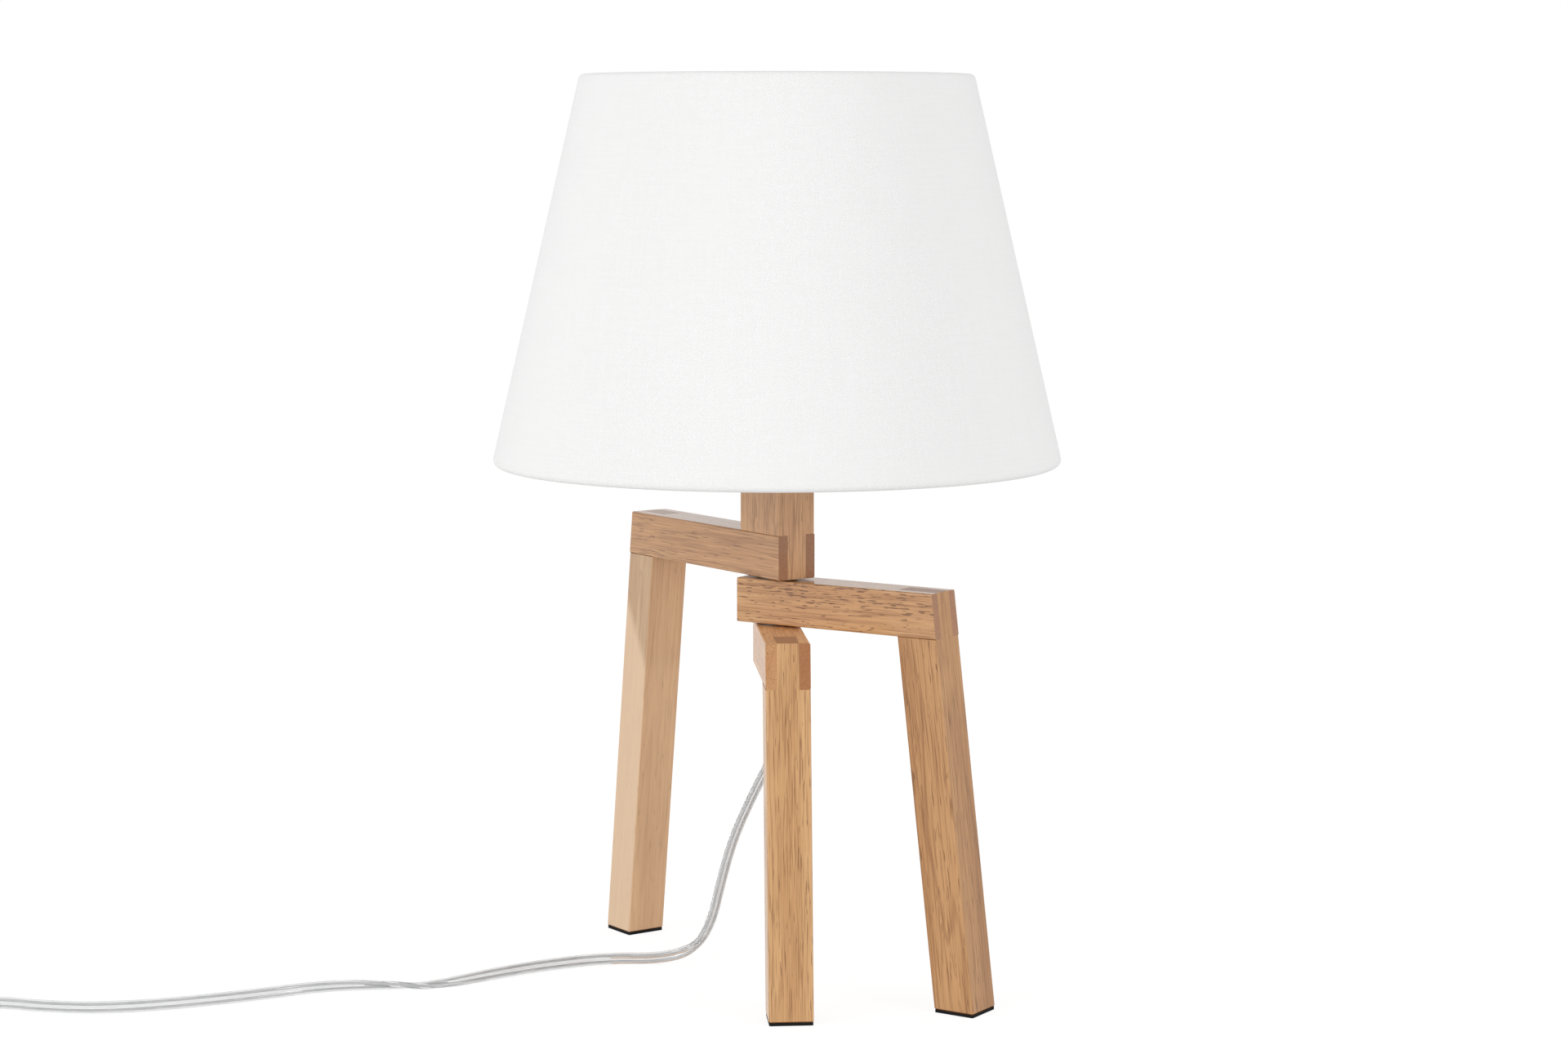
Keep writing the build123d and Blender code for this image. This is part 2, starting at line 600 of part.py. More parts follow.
def switch():
    """Base, cover, rocker, pivot pin and screws of the in-line switch, with the cord held at the split."""
    outline = switch_outline()
    base = extrude(outline, amount=SWITCH_SPLIT_Z)
    base = chamfer(base.faces().sort_by(Axis.Z)[0].edges(), SWITCH_BASE_BEVEL)
    cover = Pos(0, 0, SWITCH_SPLIT_Z) * extrude(outline, amount=SWITCH_HEIGHT - SWITCH_SPLIT_Z)
    cover = fillet(cover.faces().sort_by(Axis.Z)[-1].edges(), SWITCH_EDGE_RADIUS)
    tip = ROCKER_LENGTH / 2 * cos(radians(ROCKER_TILT)) + ROCKER_RISE * sin(radians(ROCKER_TILT))
    window = 2 * (tip + ROCKER_CLEARANCE)
    bay = ROCKER_WIDTH + 2 * ROCKER_SIDE_CLEARANCE
    inside = Pos(0, 0, SWITCH_FLOOR) * Box(
        window, bay, SWITCH_HEIGHT, align=(Align.CENTER, Align.CENTER, Align.MIN)
    )
    cord_section = Plane.YZ * Pos(0, SWITCH_SPLIT_Z) * Circle(cord_hole_r)
    cord_run = extrude(cord_section, amount=SWITCH_LENGTH, both=True)
    cord_run -= Box(SWITCH_LENGTH - 2 * CORD_INTO_SWITCH, SWITCH_WIDTH, 2 * SWITCH_HEIGHT)
    pivot_plane = Plane((0, 0, ROCKER_PIVOT_Z), z_dir=(0, 1, 0))
    pivot_half = bay / 2 + PIVOT_SEAT
    pivot = pivot_plane * extrude(Circle(PIVOT_D / 2), amount=pivot_half, both=True)
    pivot_hole = pivot_plane * extrude(Circle(PIVOT_D / 2 + PIVOT_CLEARANCE), amount=pivot_half, both=True)
    shank_top = SWITCH_SPLIT_Z + SWITCH_SCREW_BITE
    offset_x, offset_y = SWITCH_SCREW_OFFSET
    spots = [Pos(offset_x, offset_y), Pos(-offset_x, -offset_y)]
    screw = extrude(Circle(SWITCH_SCREW_HEAD_D / 2), amount=SWITCH_SCREW_HEAD)
    screw += extrude(Circle(SWITCH_SCREW_D / 2), amount=shank_top)
    screw = Pos(0, 0, SWITCH_SCREW_SINK) * screw
    head_hole = Circle(SWITCH_SCREW_HEAD_D / 2 + SEAT_CLEARANCE)
    shank_hole = Circle(SWITCH_SCREW_D / 2 + SEAT_CLEARANCE)
    hole = extrude(head_hole, amount=SWITCH_SCREW_SINK + SWITCH_SCREW_HEAD)
    hole += extrude(shank_hole, amount=SWITCH_SCREW_SINK + shank_top)
    for spot in spots:
        base -= spot * hole
        cover -= spot * hole
    tilted = Pos(0, 0, ROCKER_PIVOT_Z) * Rot(0, -ROCKER_TILT, 0) * rocker()
    put = Pos(SWITCH_X, SWITCH_Y, 0)
    return {
        "switch_base": put * (base - inside - cord_run - pivot_hole),
        "switch_cover": put * (cover - inside - cord_run - pivot_hole),
        "switch_rocker": put * tilted,
        "switch_pivot": put * pivot,
        "switch_screws": put * Compound(children=[spot * screw for spot in spots]),
    }


def plug():
    """A flat moulded plug with two round pins, lying on its flat side."""
    tail, half = PLUG_TAIL_WIDTH / 2, PLUG_WIDTH / 2
    outline = make_face(
        Polyline(
            (0, -tail),
            (PLUG_TAIL_LENGTH, -tail),
            (PLUG_LENGTH - PLUG_HEAD_LENGTH, -half),
            (PLUG_LENGTH, -half),
            (PLUG_LENGTH, half),
            (PLUG_LENGTH - PLUG_HEAD_LENGTH, half),
            (PLUG_TAIL_LENGTH, tail),
            (0, tail),
            close=True,
        )
    )
    body = extrude(outline, amount=PLUG_THICKNESS)
    body = fillet(body.edges().filter_by(Axis.Z), PLUG_EDGE_RADIUS)
    body = chamfer(body.faces().sort_by(Axis.Z)[0].edges(), PLUG_BEVEL)
    body = chamfer(body.faces().sort_by(Axis.Z)[-1].edges(), PLUG_BEVEL)
    body -= Plane.YZ * Pos(0, plug_z) * extrude(Circle(cord_hole_r), amount=CORD_INTO_PLUG)
    pin = extrude(Circle(PIN_D / 2), amount=PIN_SEAT + PIN_LENGTH)
    pin = chamfer(pin.faces().sort_by(Axis.Z)[-1].edges(), PIN_TIP_BEVEL)
    pin_plane = Plane((PLUG_LENGTH - PIN_SEAT, 0, plug_z), x_dir=(0, 1, 0), z_dir=(1, 0, 0))
    pins = [pin_plane * Pos(side * PIN_SPACING / 2, 0) * pin for side in (-1, 1)]
    for each in pins:
        body -= each
    put = Pos(plug_x, plug_y, 0)
    return {"plug_body": put * body, "plug_pins": put * Compound(children=pins)}


def inner_cord():
    """The cord inside the tube, from the grip's tip to the lampholder's insert."""
    return disc(CORD_D / 2, grip_bottom, socket_bottom - INSERT_DEPTH)


nodes = {
    **wooden_stand(),
    **clamp_hardware(),
    **cord_grip(),
    **lampholder(),
    **shade(),
    **cord_coil(),
    **switch(),
    **plug(),
    "inner_cord": inner_cord(),
    "cord_lead": cord_lead(),
}

os.makedirs("parts", exist_ok=True)
for name, part in nodes.items():
    export_step(part, f"parts/{name}.step")
print(len(nodes), "nodes")
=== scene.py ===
"""Looks of the bedside lamp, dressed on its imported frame.

Metres, +Z up. The origin is on the lamp's axis at the surface that it stands on.
+X is to the right and +Y away from the viewer, as the lamp is pictured.
"""
import math

import bmesh
import bpy
from mathutils import Euler, Matrix, Vector


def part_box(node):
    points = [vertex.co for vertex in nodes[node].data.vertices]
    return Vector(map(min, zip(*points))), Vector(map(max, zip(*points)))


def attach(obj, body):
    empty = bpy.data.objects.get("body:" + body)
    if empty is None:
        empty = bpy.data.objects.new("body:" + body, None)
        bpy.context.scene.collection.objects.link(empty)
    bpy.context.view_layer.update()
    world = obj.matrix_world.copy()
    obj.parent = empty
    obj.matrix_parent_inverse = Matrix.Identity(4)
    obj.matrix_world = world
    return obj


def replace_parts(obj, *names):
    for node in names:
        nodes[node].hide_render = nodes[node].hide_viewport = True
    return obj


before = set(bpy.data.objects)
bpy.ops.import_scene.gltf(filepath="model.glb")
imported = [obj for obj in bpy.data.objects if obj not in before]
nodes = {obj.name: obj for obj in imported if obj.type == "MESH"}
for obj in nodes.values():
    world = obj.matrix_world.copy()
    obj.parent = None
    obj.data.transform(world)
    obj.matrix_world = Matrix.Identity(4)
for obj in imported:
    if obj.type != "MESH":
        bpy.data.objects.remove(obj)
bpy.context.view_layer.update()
MM = 0.001
TURN = 2 * math.pi

# Camera, as found from the beams' and the shade's edges
CAMERA_PLACE = (0.003153, -1.53091, 0.393044)
CAMERA_PITCH = 6.665
CAMERA_FOCAL_PIXELS = 4122.227
PHOTO_WIDTH_PIXELS = 1920
SENSOR_WIDTH = 36.0

# Light: strengths of the surroundings and of the floor's own white, and the lamps' power in watts
WORLD_LIGHT = 0.68
WORLD_SEEN = 1.0
FLOOR_BOUNCE = 0.8
FLOOR_SEEN = 0.22
FLOOR_GLOW = 0.86
FLOOR_HALF = 12.0
LAMP_SIZE = 1.0
LAMP_TARGET = (0, 0, 0.22)
KEY_PLACE = (-1.8, -1.35, 0.55)
KEY_POWER = 16.0
FILL_PLACE = (1.8, -1.35, 0.55)
FILL_POWER = 12.0

# Wooden stand: direction of each leg frame and the legs' splay, in degrees
TOP_AZIMUTH = 125.1
MIDDLE_AZIMUTH = -33.4
LOWER_AZIMUTH = -85.5
LEG_SPLAY = 6.9
LEG_TURN = 90.0 - LEG_SPLAY

# Wood: how far each seed shifts the grain, the two kinds of open pores, and where the look changes
GRAIN_SHIFT = Vector((0.31, 0.17, 0.23))
PORES = dict(along=110, across=1900, crowding=0.3, share=0.65)
BANDED_PORES = dict(along=230, across=1700, crowding=0.2, share=0.85)
PORE_BAND_Z = 180 * MM
PORE_BAND_DEPTH = 7 * MM
PORE_BAND_LIFT = 0.085
PALE_LOW_SLOPE = 2.0
PALE_LOW_LEVEL = -57.5 * MM
PALE_LOW_FADE = 7 * MM
PALE_LOW_FLAT = 0.75
FLAT_TONE_AND_LIGHT_FADE = 9 * MM
END_FADE = 3 * MM
END_SHARE = 0.9

# Shade: its sheet, the lapped seam with its edge in radians, and the cloth's threads and slubs
SKIN = 0.8 * MM
SEAM_LAP = 9 * MM
SEAM_LIFT = 0.45 * MM
SEAM_EDGE = 0.003
ANGLE_TOLERANCE = 1e-6
SIDE_SHARES = (0.012, 0.5, 0.988)
SHADE_FACETS = 240
THREAD_SPACING = 0.8 * MM
SLUB_FINE = 900
SLUB_LONG = 40
SHADE_MIDDLE_R = 112 * MM

# Lampholder: its threaded shell with a lip, and the brass screw inside
HOLDER_R = 20 * MM
HOLDER_WALL = 2.2 * MM
FLANGE_HEIGHT = 2 * MM
LIP_R = 13.8 * MM
LIP_HEIGHT = 2 * MM
LIP_BEVEL = 1 * MM
OUTER_THREAD_PITCH = 3 * MM
OUTER_THREAD_DEPTH = 0.9 * MM
OUTER_THREAD_SQUARENESS = 1.6
SOCKET_R = 13.2 * MM
SOCKET_WALL = 0.4 * MM
SOCKET_PITCH = 3.629 * MM
SOCKET_THREAD = 0.42 * MM
THREAD_FACETS = 72
THREAD_STEPS_PER_PITCH = 8

# Flat twin cord: its section, and how it hangs, sways from side to side and turns over once
CORD_WIDTH = 5.5 * MM
CORD_THICKNESS = 2.8 * MM
CORD_WEB = 1.7 * MM
LOBE_R = CORD_THICKNESS / 2
LOBE_OFFSET = (CORD_WIDTH - CORD_THICKNESS) / 2
LOBE_REACH = math.radians(120)
STRAND_R = 0.42 * MM
STRAND_SIDES = 10
CORD_SPLINE_STEPS = 8
HANG_WIDE = Vector((-0.76, -0.65, 0))
STEEP_FROM = 0.2
STEEP_SPAN = 0.65
SWAY_ROLL = 0.35
SWAY_PERIOD = 170 * MM
SWAY_START = 140 * MM
SWAY_FADE_IN = 30 * MM
SWAY_END = 440 * MM
SWAY_FADE_OUT = 50 * MM
CORD_FLOOR_Z = 2.81 * MM
TWIST_X = -160 * MM
TWIST_LENGTH = 95 * MM
FLOOR_CLEARANCE = 0.05 * MM

# Switch on the cord, and the raised marks on its rocker, which tilts in degrees
SWITCH_X = -387 * MM
SWITCH_Y = -66 * MM
SWITCH_LEFT = -418 * MM
SPLIT_Z = 6.5 * MM
CORD_INTO_SWITCH = 6 * MM
ROCKER_PIVOT_Z = 9.6 * MM
ROCKER_TILT = 7.0
ROCKER_HALF = 9 * MM
ROCKER_RISE = 5.8 * MM
ROCKER_DISH = 1.4 * MM
MARK_R = 0.4 * MM
MARK_SUNK = 0.16 * MM
MARK_RUN = 5.4 * MM
MARK_BAR_HALF = 1.7 * MM
MARK_RING_R = 1.8 * MM
MARK_RING_FACETS = 32
MARK_RING_SIDES = 10

# Put-away coil of the cord, in two layers
COIL_CENTRE = Vector((-461.5, -26.5, 0)) * MM
COIL_OUTER_R = 39.5 * MM
COIL_CLIMB_R = 20.4 * MM
COIL_PITCH = 6 * MM
COIL_HALF_TURNS = 6
COIL_LOW_Z = 4.05 * MM
COIL_POINTS_PER_HALF_TURN = 8
COIL_APPROACH = 24 * MM

# Strap round the coil, whose tongue climbs over its start
TIE_THICKNESS = 1 * MM
TIE_BEND = 3.25 * MM
TIE_START = 3 * MM
TIE_TONGUE = -7.5 * MM
TIE_RISE_GAP = 1 * MM
TIE_STACK = 1.05
TIE_TIP_SHARE = 0.08
TIE_STEPS = 30
TIE_SIDES = 16
TIE_EDGE_POWER = 0.35
TIE_FACE_POWER = 0.7
TIE_RIB = 0.75 * MM

# Plug with its pins and finger ridges, and the collars where the flat cord enters
PLUG_TAIL = Vector((-430, 13, 7.2)) * MM
PLUG_TAIL_LENGTH = 11 * MM
PLUG_TAIL_HALF = 5.5 * MM
PLUG_HALF = 13 * MM
PLUG_TAPER_LENGTH = 14 * MM
PLUG_LENGTH = 36 * MM
PIN_SLEEVE = 10 * MM
SLEEVE_EDGE = 0.05 * MM
RIDGE_COUNT = 5
RIDGE_START = 0.7
RIDGE_STEP = 2.6 * MM
RIDGE_R = 0.8 * MM
RIDGE_MARGIN = 3.4 * MM
COLLAR_R = 2.85 * MM
COLLAR_PROFILE = ((0.1 * MM, 0.8), (0.4 * MM, 0.93), (0.9 * MM, 1.0), (5.5 * MM, 1.0))
CORD_STUB = 5.5 * MM
CORD_INTO_PLUG = 6 * MM
PLUG_APPROACH = 12 * MM
PLUG_APPROACH_RISE = 1.2 * MM

# Meshes: the angle in degrees past which an edge is sharp, and the fineness of round bars
SHARP_ANGLE = 42
BAR_SIDES = 24
DOME_STEPS = 6
DOME_TIP_SHARE = 0.02

# Route of the free cord from the grip to the switch, in millimetres
LEAD_ROUTE = [
    (0, 0, 127.5),
    (0, 0, 109.5),
    (-10.5, 5.5, 88),
    (-20.5, 10, 65),
    (-26.5, 16, 42),
    (-31, 20, 22),
    (-38.5, 24, 9),
    (-54, 29, 2.8),
    (-80, 30, 2.8),
    (-106, 19, 2.8),
    (-131, 2, 2.8),
    (-154, -15.5, 2.8),
    (-178, -18.5, 2.8),
    (-208, -22, 2.8),
    (-236, -38, 2.8),
    (-268, -52, 2.8),
    (-299, -61.5, 2.8),
    (-326, -65, 4.4),
    (-344, -66, 6.5),
    (-362, -66, 6.5),
]


class Tree:
    """A shader's node tree, with short calls for its nodes."""

    def __init__(self, tree):
        self.tree = tree

    def feed(self, socket, value):
        """Links an output into a socket, or sets the socket to a constant."""
        if isinstance(value, bpy.types.NodeSocket):
            self.tree.links.new(value, socket)
        else:
            socket.default_value = value

    def add(self, kind, inputs=None, **settings):
        """A new node with its settings and inputs."""
        node = self.tree.nodes.new("ShaderNode" + kind)
        for name, value in settings.items():
            setattr(node, name, value)
        for name, value in (inputs or {}).items():
            self.feed(node.inputs[name], value)
        return node

    def math(self, operation, first, second=0.0):
        """One arithmetic step."""
        return self.add("Math", {0: first, 1: second}, operation=operation).outputs[0]

    def seen_directly(self):
        """1 where the camera, or a reflection or refraction, looks."""
        path = self.add("LightPath").outputs
        bent = self.math("MAXIMUM", path["Is Glossy Ray"], path["Is Transmission Ray"])
        return self.math("MAXIMUM", path["Is Camera Ray"], bent)


class Finish(Tree):
    """One procedural material."""

    def __init__(self, name, color, roughness, constants=None):
        self.material = bpy.data.materials.new(name)
        self.material.use_nodes = True
        super().__init__(self.material.node_tree)
        self.shader = self.tree.nodes["Principled BSDF"]
        self.shader.inputs["Base Color"].default_value = (*color, 1)
        self.shader.inputs["Roughness"].default_value = roughness
        for socket, value in (constants or {}).items():
            self.shader.inputs[socket].default_value = value

    def place(self):
        """The point on the piece, in the lamp's frame."""
        return self.add("TexCoord").outputs["Object"]

    def split(self, vector):
        """The three parts of a vector."""
        return self.add("SeparateXYZ", {0: vector}).outputs

    def stretched(self, vector, scale):
        """A point scaled along its axes."""
        return self.add("VectorMath", {0: vector, 1: scale}, operation="MULTIPLY").outputs[0]

    def reach(self, vector, direction):
        """How far a vector reaches along a direction."""
        return self.add("VectorMath", {0: vector, 1: direction}, operation="DOT_PRODUCT").outputs["Value"]

    def noise(self, vector, scale=1.0, detail=2.0, distortion=0.0):
        """Smooth noise from 0 to 1."""
        inputs = {"Vector": vector, "Scale": scale, "Detail": detail, "Distortion": distortion}
        return self.add("TexNoise", inputs).outputs[0]

    def times(self, first, second):
        """A product."""
        return self.math("MULTIPLY", first, second)

    def step(self, value, low, high):
        """A smooth step from 0 at low to 1 at high."""
        inputs = {"Value": value, "From Min": low, "From Max": high}
        return self.add("MapRange", inputs, interpolation_type="SMOOTHSTEP").outputs[0]

    def line(self, value, middle, inner, outer):
        """A soft line, 1 where the value is near its middle and 0 past the outer distance."""
        distance = self.math("ABSOLUTE", self.math("SUBTRACT", value, middle))
        return self.step(distance, outer, inner)

    def mix(self, factor, first, second, blend="MIX"):
        """One colour over another."""
        colors = [c if isinstance(c, bpy.types.NodeSocket) else (*c, 1) for c in (first, second)]
        inputs = {0: factor, 6: colors[0], 7: colors[1]}
        return self.add("Mix", inputs, data_type="RGBA", blend_type=blend).outputs[2]

    def set(self, socket, value):
        """Feeds one of the shader's sockets."""
        self.feed(self.shader.inputs[socket], value)
        return self

    def rough(self, noise, least, more):
        """Roughness that grows with a noise, from its least by up to some more."""
        return self.set("Roughness", self.math("ADD", least, self.times(noise, more)))

    def bump(self, height, depth):
        """Relief of the surface, with its depth in metres."""
        node = self.add("Bump", {"Height": height, "Distance": depth})
        return self.set("Normal", node.outputs["Normal"])


class Wood(Finish):
    """Satin-lacquered hardwood whose grain runs along a beam, and whose colour is laid on in layers."""

    def __init__(self, name, turn, seed, tones, gloss):
        self.pale, self.deep = tones
        lacquer = {"Coat Weight": gloss, "Coat Roughness": 0.2, "Specular IOR Level": 0.3}
        super().__init__(name, self.pale, 0.5, lacquer)
        rotation = Euler([math.radians(angle) for angle in turn])
        axes = ((1, 0, 0), (0, 1, 0), (0, 0, 1))
        self.along, self.aside, self.across = (rotation.to_matrix() @ Vector(axis) for axis in axes)
        self.point = self.place()
        self.height = self.split(self.point)[2]
        mapping = {"Vector": self.point, "Location": GRAIN_SHIFT * seed, "Rotation": rotation}
        self.grain = self.add("Mapping", mapping, vector_type="TEXTURE").outputs[0]
        self.flat = self.facing(self.across, low=0.5, high=0.75)
        self.color = self.pale

    def facing(self, direction, low, high):
        """1 on the faces that look along a direction, either way."""
        normal = self.add("TexCoord").outputs["Normal"]
        return self.step(self.math("ABSOLUTE", self.reach(normal, direction)), low, high)

    def grained(self, along, across, detail, distortion=0.0):
        """Noise drawn out along the grain; along and across are features in each metre."""
        drawn = self.stretched(self.grain, (along, across, across))
        return self.noise(drawn, detail=detail, distortion=distortion)

    def lay(self, mask, share, color):
        """Lays a colour on the wood where a mask is, at a share of its full strength."""
        self.color = self.mix(self.times(mask, share), self.color, color)

    def draw_figure(self, figure):
        """Tone bands, growth lines, fibres and streaks; gives the fibres and the streaks."""
        tone = self.grained(along=4, across=80, detail=3.0, distortion=0.7)
        self.color = self.mix(self.step(tone, low=0.33, high=0.68), self.pale, self.deep)
        ring = self.grained(along=5, across=90, detail=1.0, distortion=0.4)
        growth = self.line(ring, middle=0.5, inner=0.002, outer=0.02)
        self.lay(growth, share=0.5 * figure, color=burnt(self.deep, 0.66))
        fibre = self.grained(along=28, across=1300, detail=3.0)
        dark = self.step(fibre, low=0.52, high=0.72)
        self.lay(dark, share=0.65 * figure, color=burnt(self.deep, 0.76))
        light = self.step(fibre, low=0.46, high=0.3)
        self.lay(light, share=0.5 * figure, color=scaled(self.pale, 1.14))
        fine = self.grained(along=45, across=2000, detail=1.0, distortion=0.2)
        streak = self.step(fine, low=0.56, high=0.68)
        self.lay(streak, share=0.65 * figure, color=burnt(self.deep, 0.58))
        return fibre, streak

    def open_pores(self, openness, banded):
        """Dark pores that crowd here and there, and on a banded beam above a level; gives the pores."""
        kind = BANDED_PORES if banded else PORES
        vessel = self.grained(kind["along"], kind["across"], detail=0.5, distortion=0.1)
        crowd = self.grained(along=8, across=110, detail=2.0)
        crowded = self.times(self.math("SUBTRACT", crowd, 0.5), kind["crowding"])
        dense = self.math("ADD", vessel, crowded)
        if banded:
            band = self.step(self.height, PORE_BAND_Z - PORE_BAND_DEPTH, PORE_BAND_Z + PORE_BAND_DEPTH)
            dense = self.math("ADD", dense, self.times(band, PORE_BAND_LIFT))
        pore = self.step(dense, low=0.72 - openness, high=0.77 - openness)
        self.lay(pore, share=kind["share"], color=burnt(self.deep, 0.33))
        return pore

    def pale_below_slant(self, share, azimuth):
        """Paler wood below a slanting level, mostly on the faces beside the flat ones."""
        slant = (-PALE_LOW_SLOPE * math.cos(azimuth), -PALE_LOW_SLOPE * math.sin(azimuth), 1)
        level = self.reach(self.point, slant)
        below_slant = self.step(level, PALE_LOW_LEVEL + PALE_LOW_FADE, PALE_LOW_LEVEL - PALE_LOW_FADE)
        beside = self.math("SUBTRACT", 1.0, self.times(self.flat, PALE_LOW_FLAT))
        self.lay(self.times(below_slant, beside), share, PALE_LOW_TONE)

    def tone_and_light_flat(self, flat_tone_and_light, top):
        """Another tone multiplied onto the flat faces, all over or only below a height; where it darkens a
        face for how light falls on it, it is painted shade, and where it lightens one, painted light.
        """
        where = self.flat
        if top is not None:
            where = self.times(where, self.step(self.height, top + FLAT_TONE_AND_LIGHT_FADE, top - FLAT_TONE_AND_LIGHT_FADE))
        self.color = self.mix(where, self.color, flat_tone_and_light, "MULTIPLY")

    def darken_ends(self, fair_end):
        """Darker, speckled end grain, which may be fairer on one half of the beam."""
        speck = self.step(self.noise(self.grain, scale=1900.0), low=0.4, high=0.72)
        cut = self.mix(speck, burnt(self.deep, 0.67, red=0.6), burnt(self.deep, 0.5, red=0.6))
        share = END_SHARE
        if fair_end:
            half = self.step(self.reach(self.point, self.aside), END_FADE, -END_FADE)
            share = self.math("SUBTRACT", share, self.times(half, fair_end))
        self.lay(self.facing(self.along, low=0.55, high=0.8), share, cut)


def scaled(color, factor):
    """A colour made darker or paler."""
    return tuple(min(factor * channel, 1.0) for channel in color)


def burnt(color, factor, red=0.3):
    """A wood tone made darker and redder."""
    powers = (1.0, 1.0 + red, 1.0 + 2 * red)
    return tuple(channel * factor**power for channel, power in zip(color, powers))


def wood(name, turn, seed, tones, pores, figure=1.0, gloss=0.85, banded=False, flat_tone_and_light=None,
         flat_tone_and_light_top=None, pale_low_share=0.0, fair_end=0.0):
    """The material of one beam."""
    finish = Wood(name, turn, seed, tones, gloss)
    fibre, streak = finish.draw_figure(figure)
    pore = finish.open_pores(pores, banded)
    if pale_low_share:
        finish.pale_below_slant(pale_low_share, math.radians(turn[2]))
    if flat_tone_and_light:
        finish.tone_and_light_flat(flat_tone_and_light, flat_tone_and_light_top)
    finish.darken_ends(fair_end)
    finish.set("Base Color", finish.color)
    finish.rough(fibre, least=0.42, more=0.16)
    pits = finish.math("ADD", pore, finish.times(streak, 0.4))
    relief = finish.math("SUBTRACT", finish.times(fibre, 0.4), pits)
    return finish.bump(relief, depth=0.1 * MM).material


def fabric():
    """Fine plain weave, near white, with faint slubs."""
    sheen = {"Sheen Weight": 0.12, "Sheen Roughness": 0.6}
    finish = Finish("shade_fabric", (0.92, 0.92, 0.917), 0.92, sheen)
    x, y, z = finish.split(finish.place())
    around = finish.times(finish.math("ARCTAN2", x, finish.times(y, -1.0)), SHADE_MIDDLE_R)
    warp = finish.math("SINE", finish.times(around, TURN / THREAD_SPACING))
    weft = finish.math("SINE", finish.times(z, TURN / THREAD_SPACING))
    weave = finish.times(warp, weft)
    cloth = finish.add("CombineXYZ", {0: around, 1: z}).outputs[0]
    upright = finish.noise(finish.stretched(cloth, (SLUB_FINE, SLUB_LONG, 1)))
    level = finish.noise(finish.stretched(cloth, (SLUB_LONG, SLUB_FINE, 1)))
    slub = finish.times(finish.math("ADD", upright, level), 0.5)
    thick = finish.step(slub, low=0.35, high=0.7)
    finish.set("Base Color", finish.mix(thick, (0.91, 0.91, 0.906), (0.93, 0.93, 0.928)))
    relief = finish.math("ADD", weave, finish.times(slub, 1.5))
    return finish.bump(relief, depth=0.03 * MM).material


def moulded(name, color, roughness, grain=2500.0, depth=0.02 * MM, uneven=0.06, shine=0.5, seam=None):
    """Moulded or painted surface with a fine grain, slightly uneven tone and any level seam, drawn as a
    thin dark line of painted shade.
    """
    finish = Finish(name, color, roughness, {"Specular IOR Level": shine})
    place = finish.place()
    tone = finish.step(finish.noise(place, scale=60.0), low=0.35, high=0.75)
    tinted = finish.mix(tone, color, scaled(color, 1 - uneven))
    # painted shade: a thin dark line at the seam's height, where two moulded shells meet
    if seam is not None:
        seam_shade = finish.line(finish.split(place)[2], seam, inner=0.08 * MM, outer=0.16 * MM)
        tinted = finish.mix(finish.times(seam_shade, 0.75), tinted, scaled(color, 0.3))
    finish.set("Base Color", tinted)
    fine = finish.noise(place, scale=grain)
    finish.rough(fine, least=roughness - 0.05, more=0.1)
    return finish.bump(fine, depth).material


def metal(name, color, roughness, drawn=(300, 300, 2600)):
    """Plated metal with fine drawn marks, given as marks in each metre along each axis."""
    finish = Finish(name, color, roughness, {"Metallic": 1.0})
    marks = finish.noise(finish.stretched(finish.place(), drawn), detail=3.0)
    dull = finish.step(marks, low=0.3, high=0.75)
    finish.set("Base Color", finish.mix(dull, color, scaled(color, 0.8)))
    finish.rough(marks, least=roughness - 0.06, more=0.14)
    return finish.bump(marks, depth=0.01 * MM).material


def sleeved_pins():
    """Nickel pins whose inner halves wear insulating sleeves."""
    nickel, sleeve = (0.72, 0.71, 0.69), (0.8, 0.8, 0.79)
    finish = Finish("sleeved_pins", nickel, 0.2)
    place = finish.place()
    edge = PLUG_TAIL.x + PLUG_LENGTH + PIN_SLEEVE
    bare = finish.step(finish.split(place)[0], edge - SLEEVE_EDGE, edge + SLEEVE_EDGE)
    marks = finish.noise(finish.stretched(place, (2600, 300, 300)), detail=3.0)
    finish.set("Base Color", finish.mix(bare, sleeve, nickel))
    finish.set("Metallic", bare)
    finish.rough(marks, least=finish.math("SUBTRACT", 0.42, finish.times(bare, 0.26)), more=0.1)
    relief = finish.math("SUBTRACT", finish.times(marks, 0.1), bare)
    return finish.bump(relief, depth=0.06 * MM).material


def clear_jacket():
    """Clear, slightly milky soft plastic of the cord."""
    finish = Finish("clear_jacket", (0.95, 0.955, 0.955), 0.05, {"Transmission Weight": 0.75})
    haze = finish.noise(finish.place(), scale=60.0)
    return finish.rough(haze, least=0.02, more=0.06).material


def woven_strap():
    """White woven tape with fine ribs across it, darker where its pile lies low as painted shade in the
    hollows.
    """
    finish = Finish("tie_strap", (0.82, 0.82, 0.81), 0.8)
    place = finish.place()
    ribs = finish.math("SINE", finish.times(finish.split(place)[1], TURN / TIE_RIB))
    loops = finish.noise(place, scale=2200.0)
    pile = finish.math("ADD", finish.times(ribs, 0.5), loops)
    # painted shade: the tape is darker in the low hollows between its ribs and loops
    unshaded_pile = finish.step(pile, low=0.1, high=1.0)
    finish.set("Base Color", finish.mix(unshaded_pile, (0.7, 0.7, 0.69), (0.84, 0.84, 0.83)))
    return finish.bump(pile, depth=0.12 * MM).material


def paint(node, *materials):
    """Gives a node or a piece its materials."""
    node.data.materials.clear()
    for material in materials:
        node.data.materials.append(material)


def put(name, data):
    """A new object in the scene."""
    made = bpy.data.objects.new(name, data)
    bpy.context.scene.collection.objects.link(made)
    return made


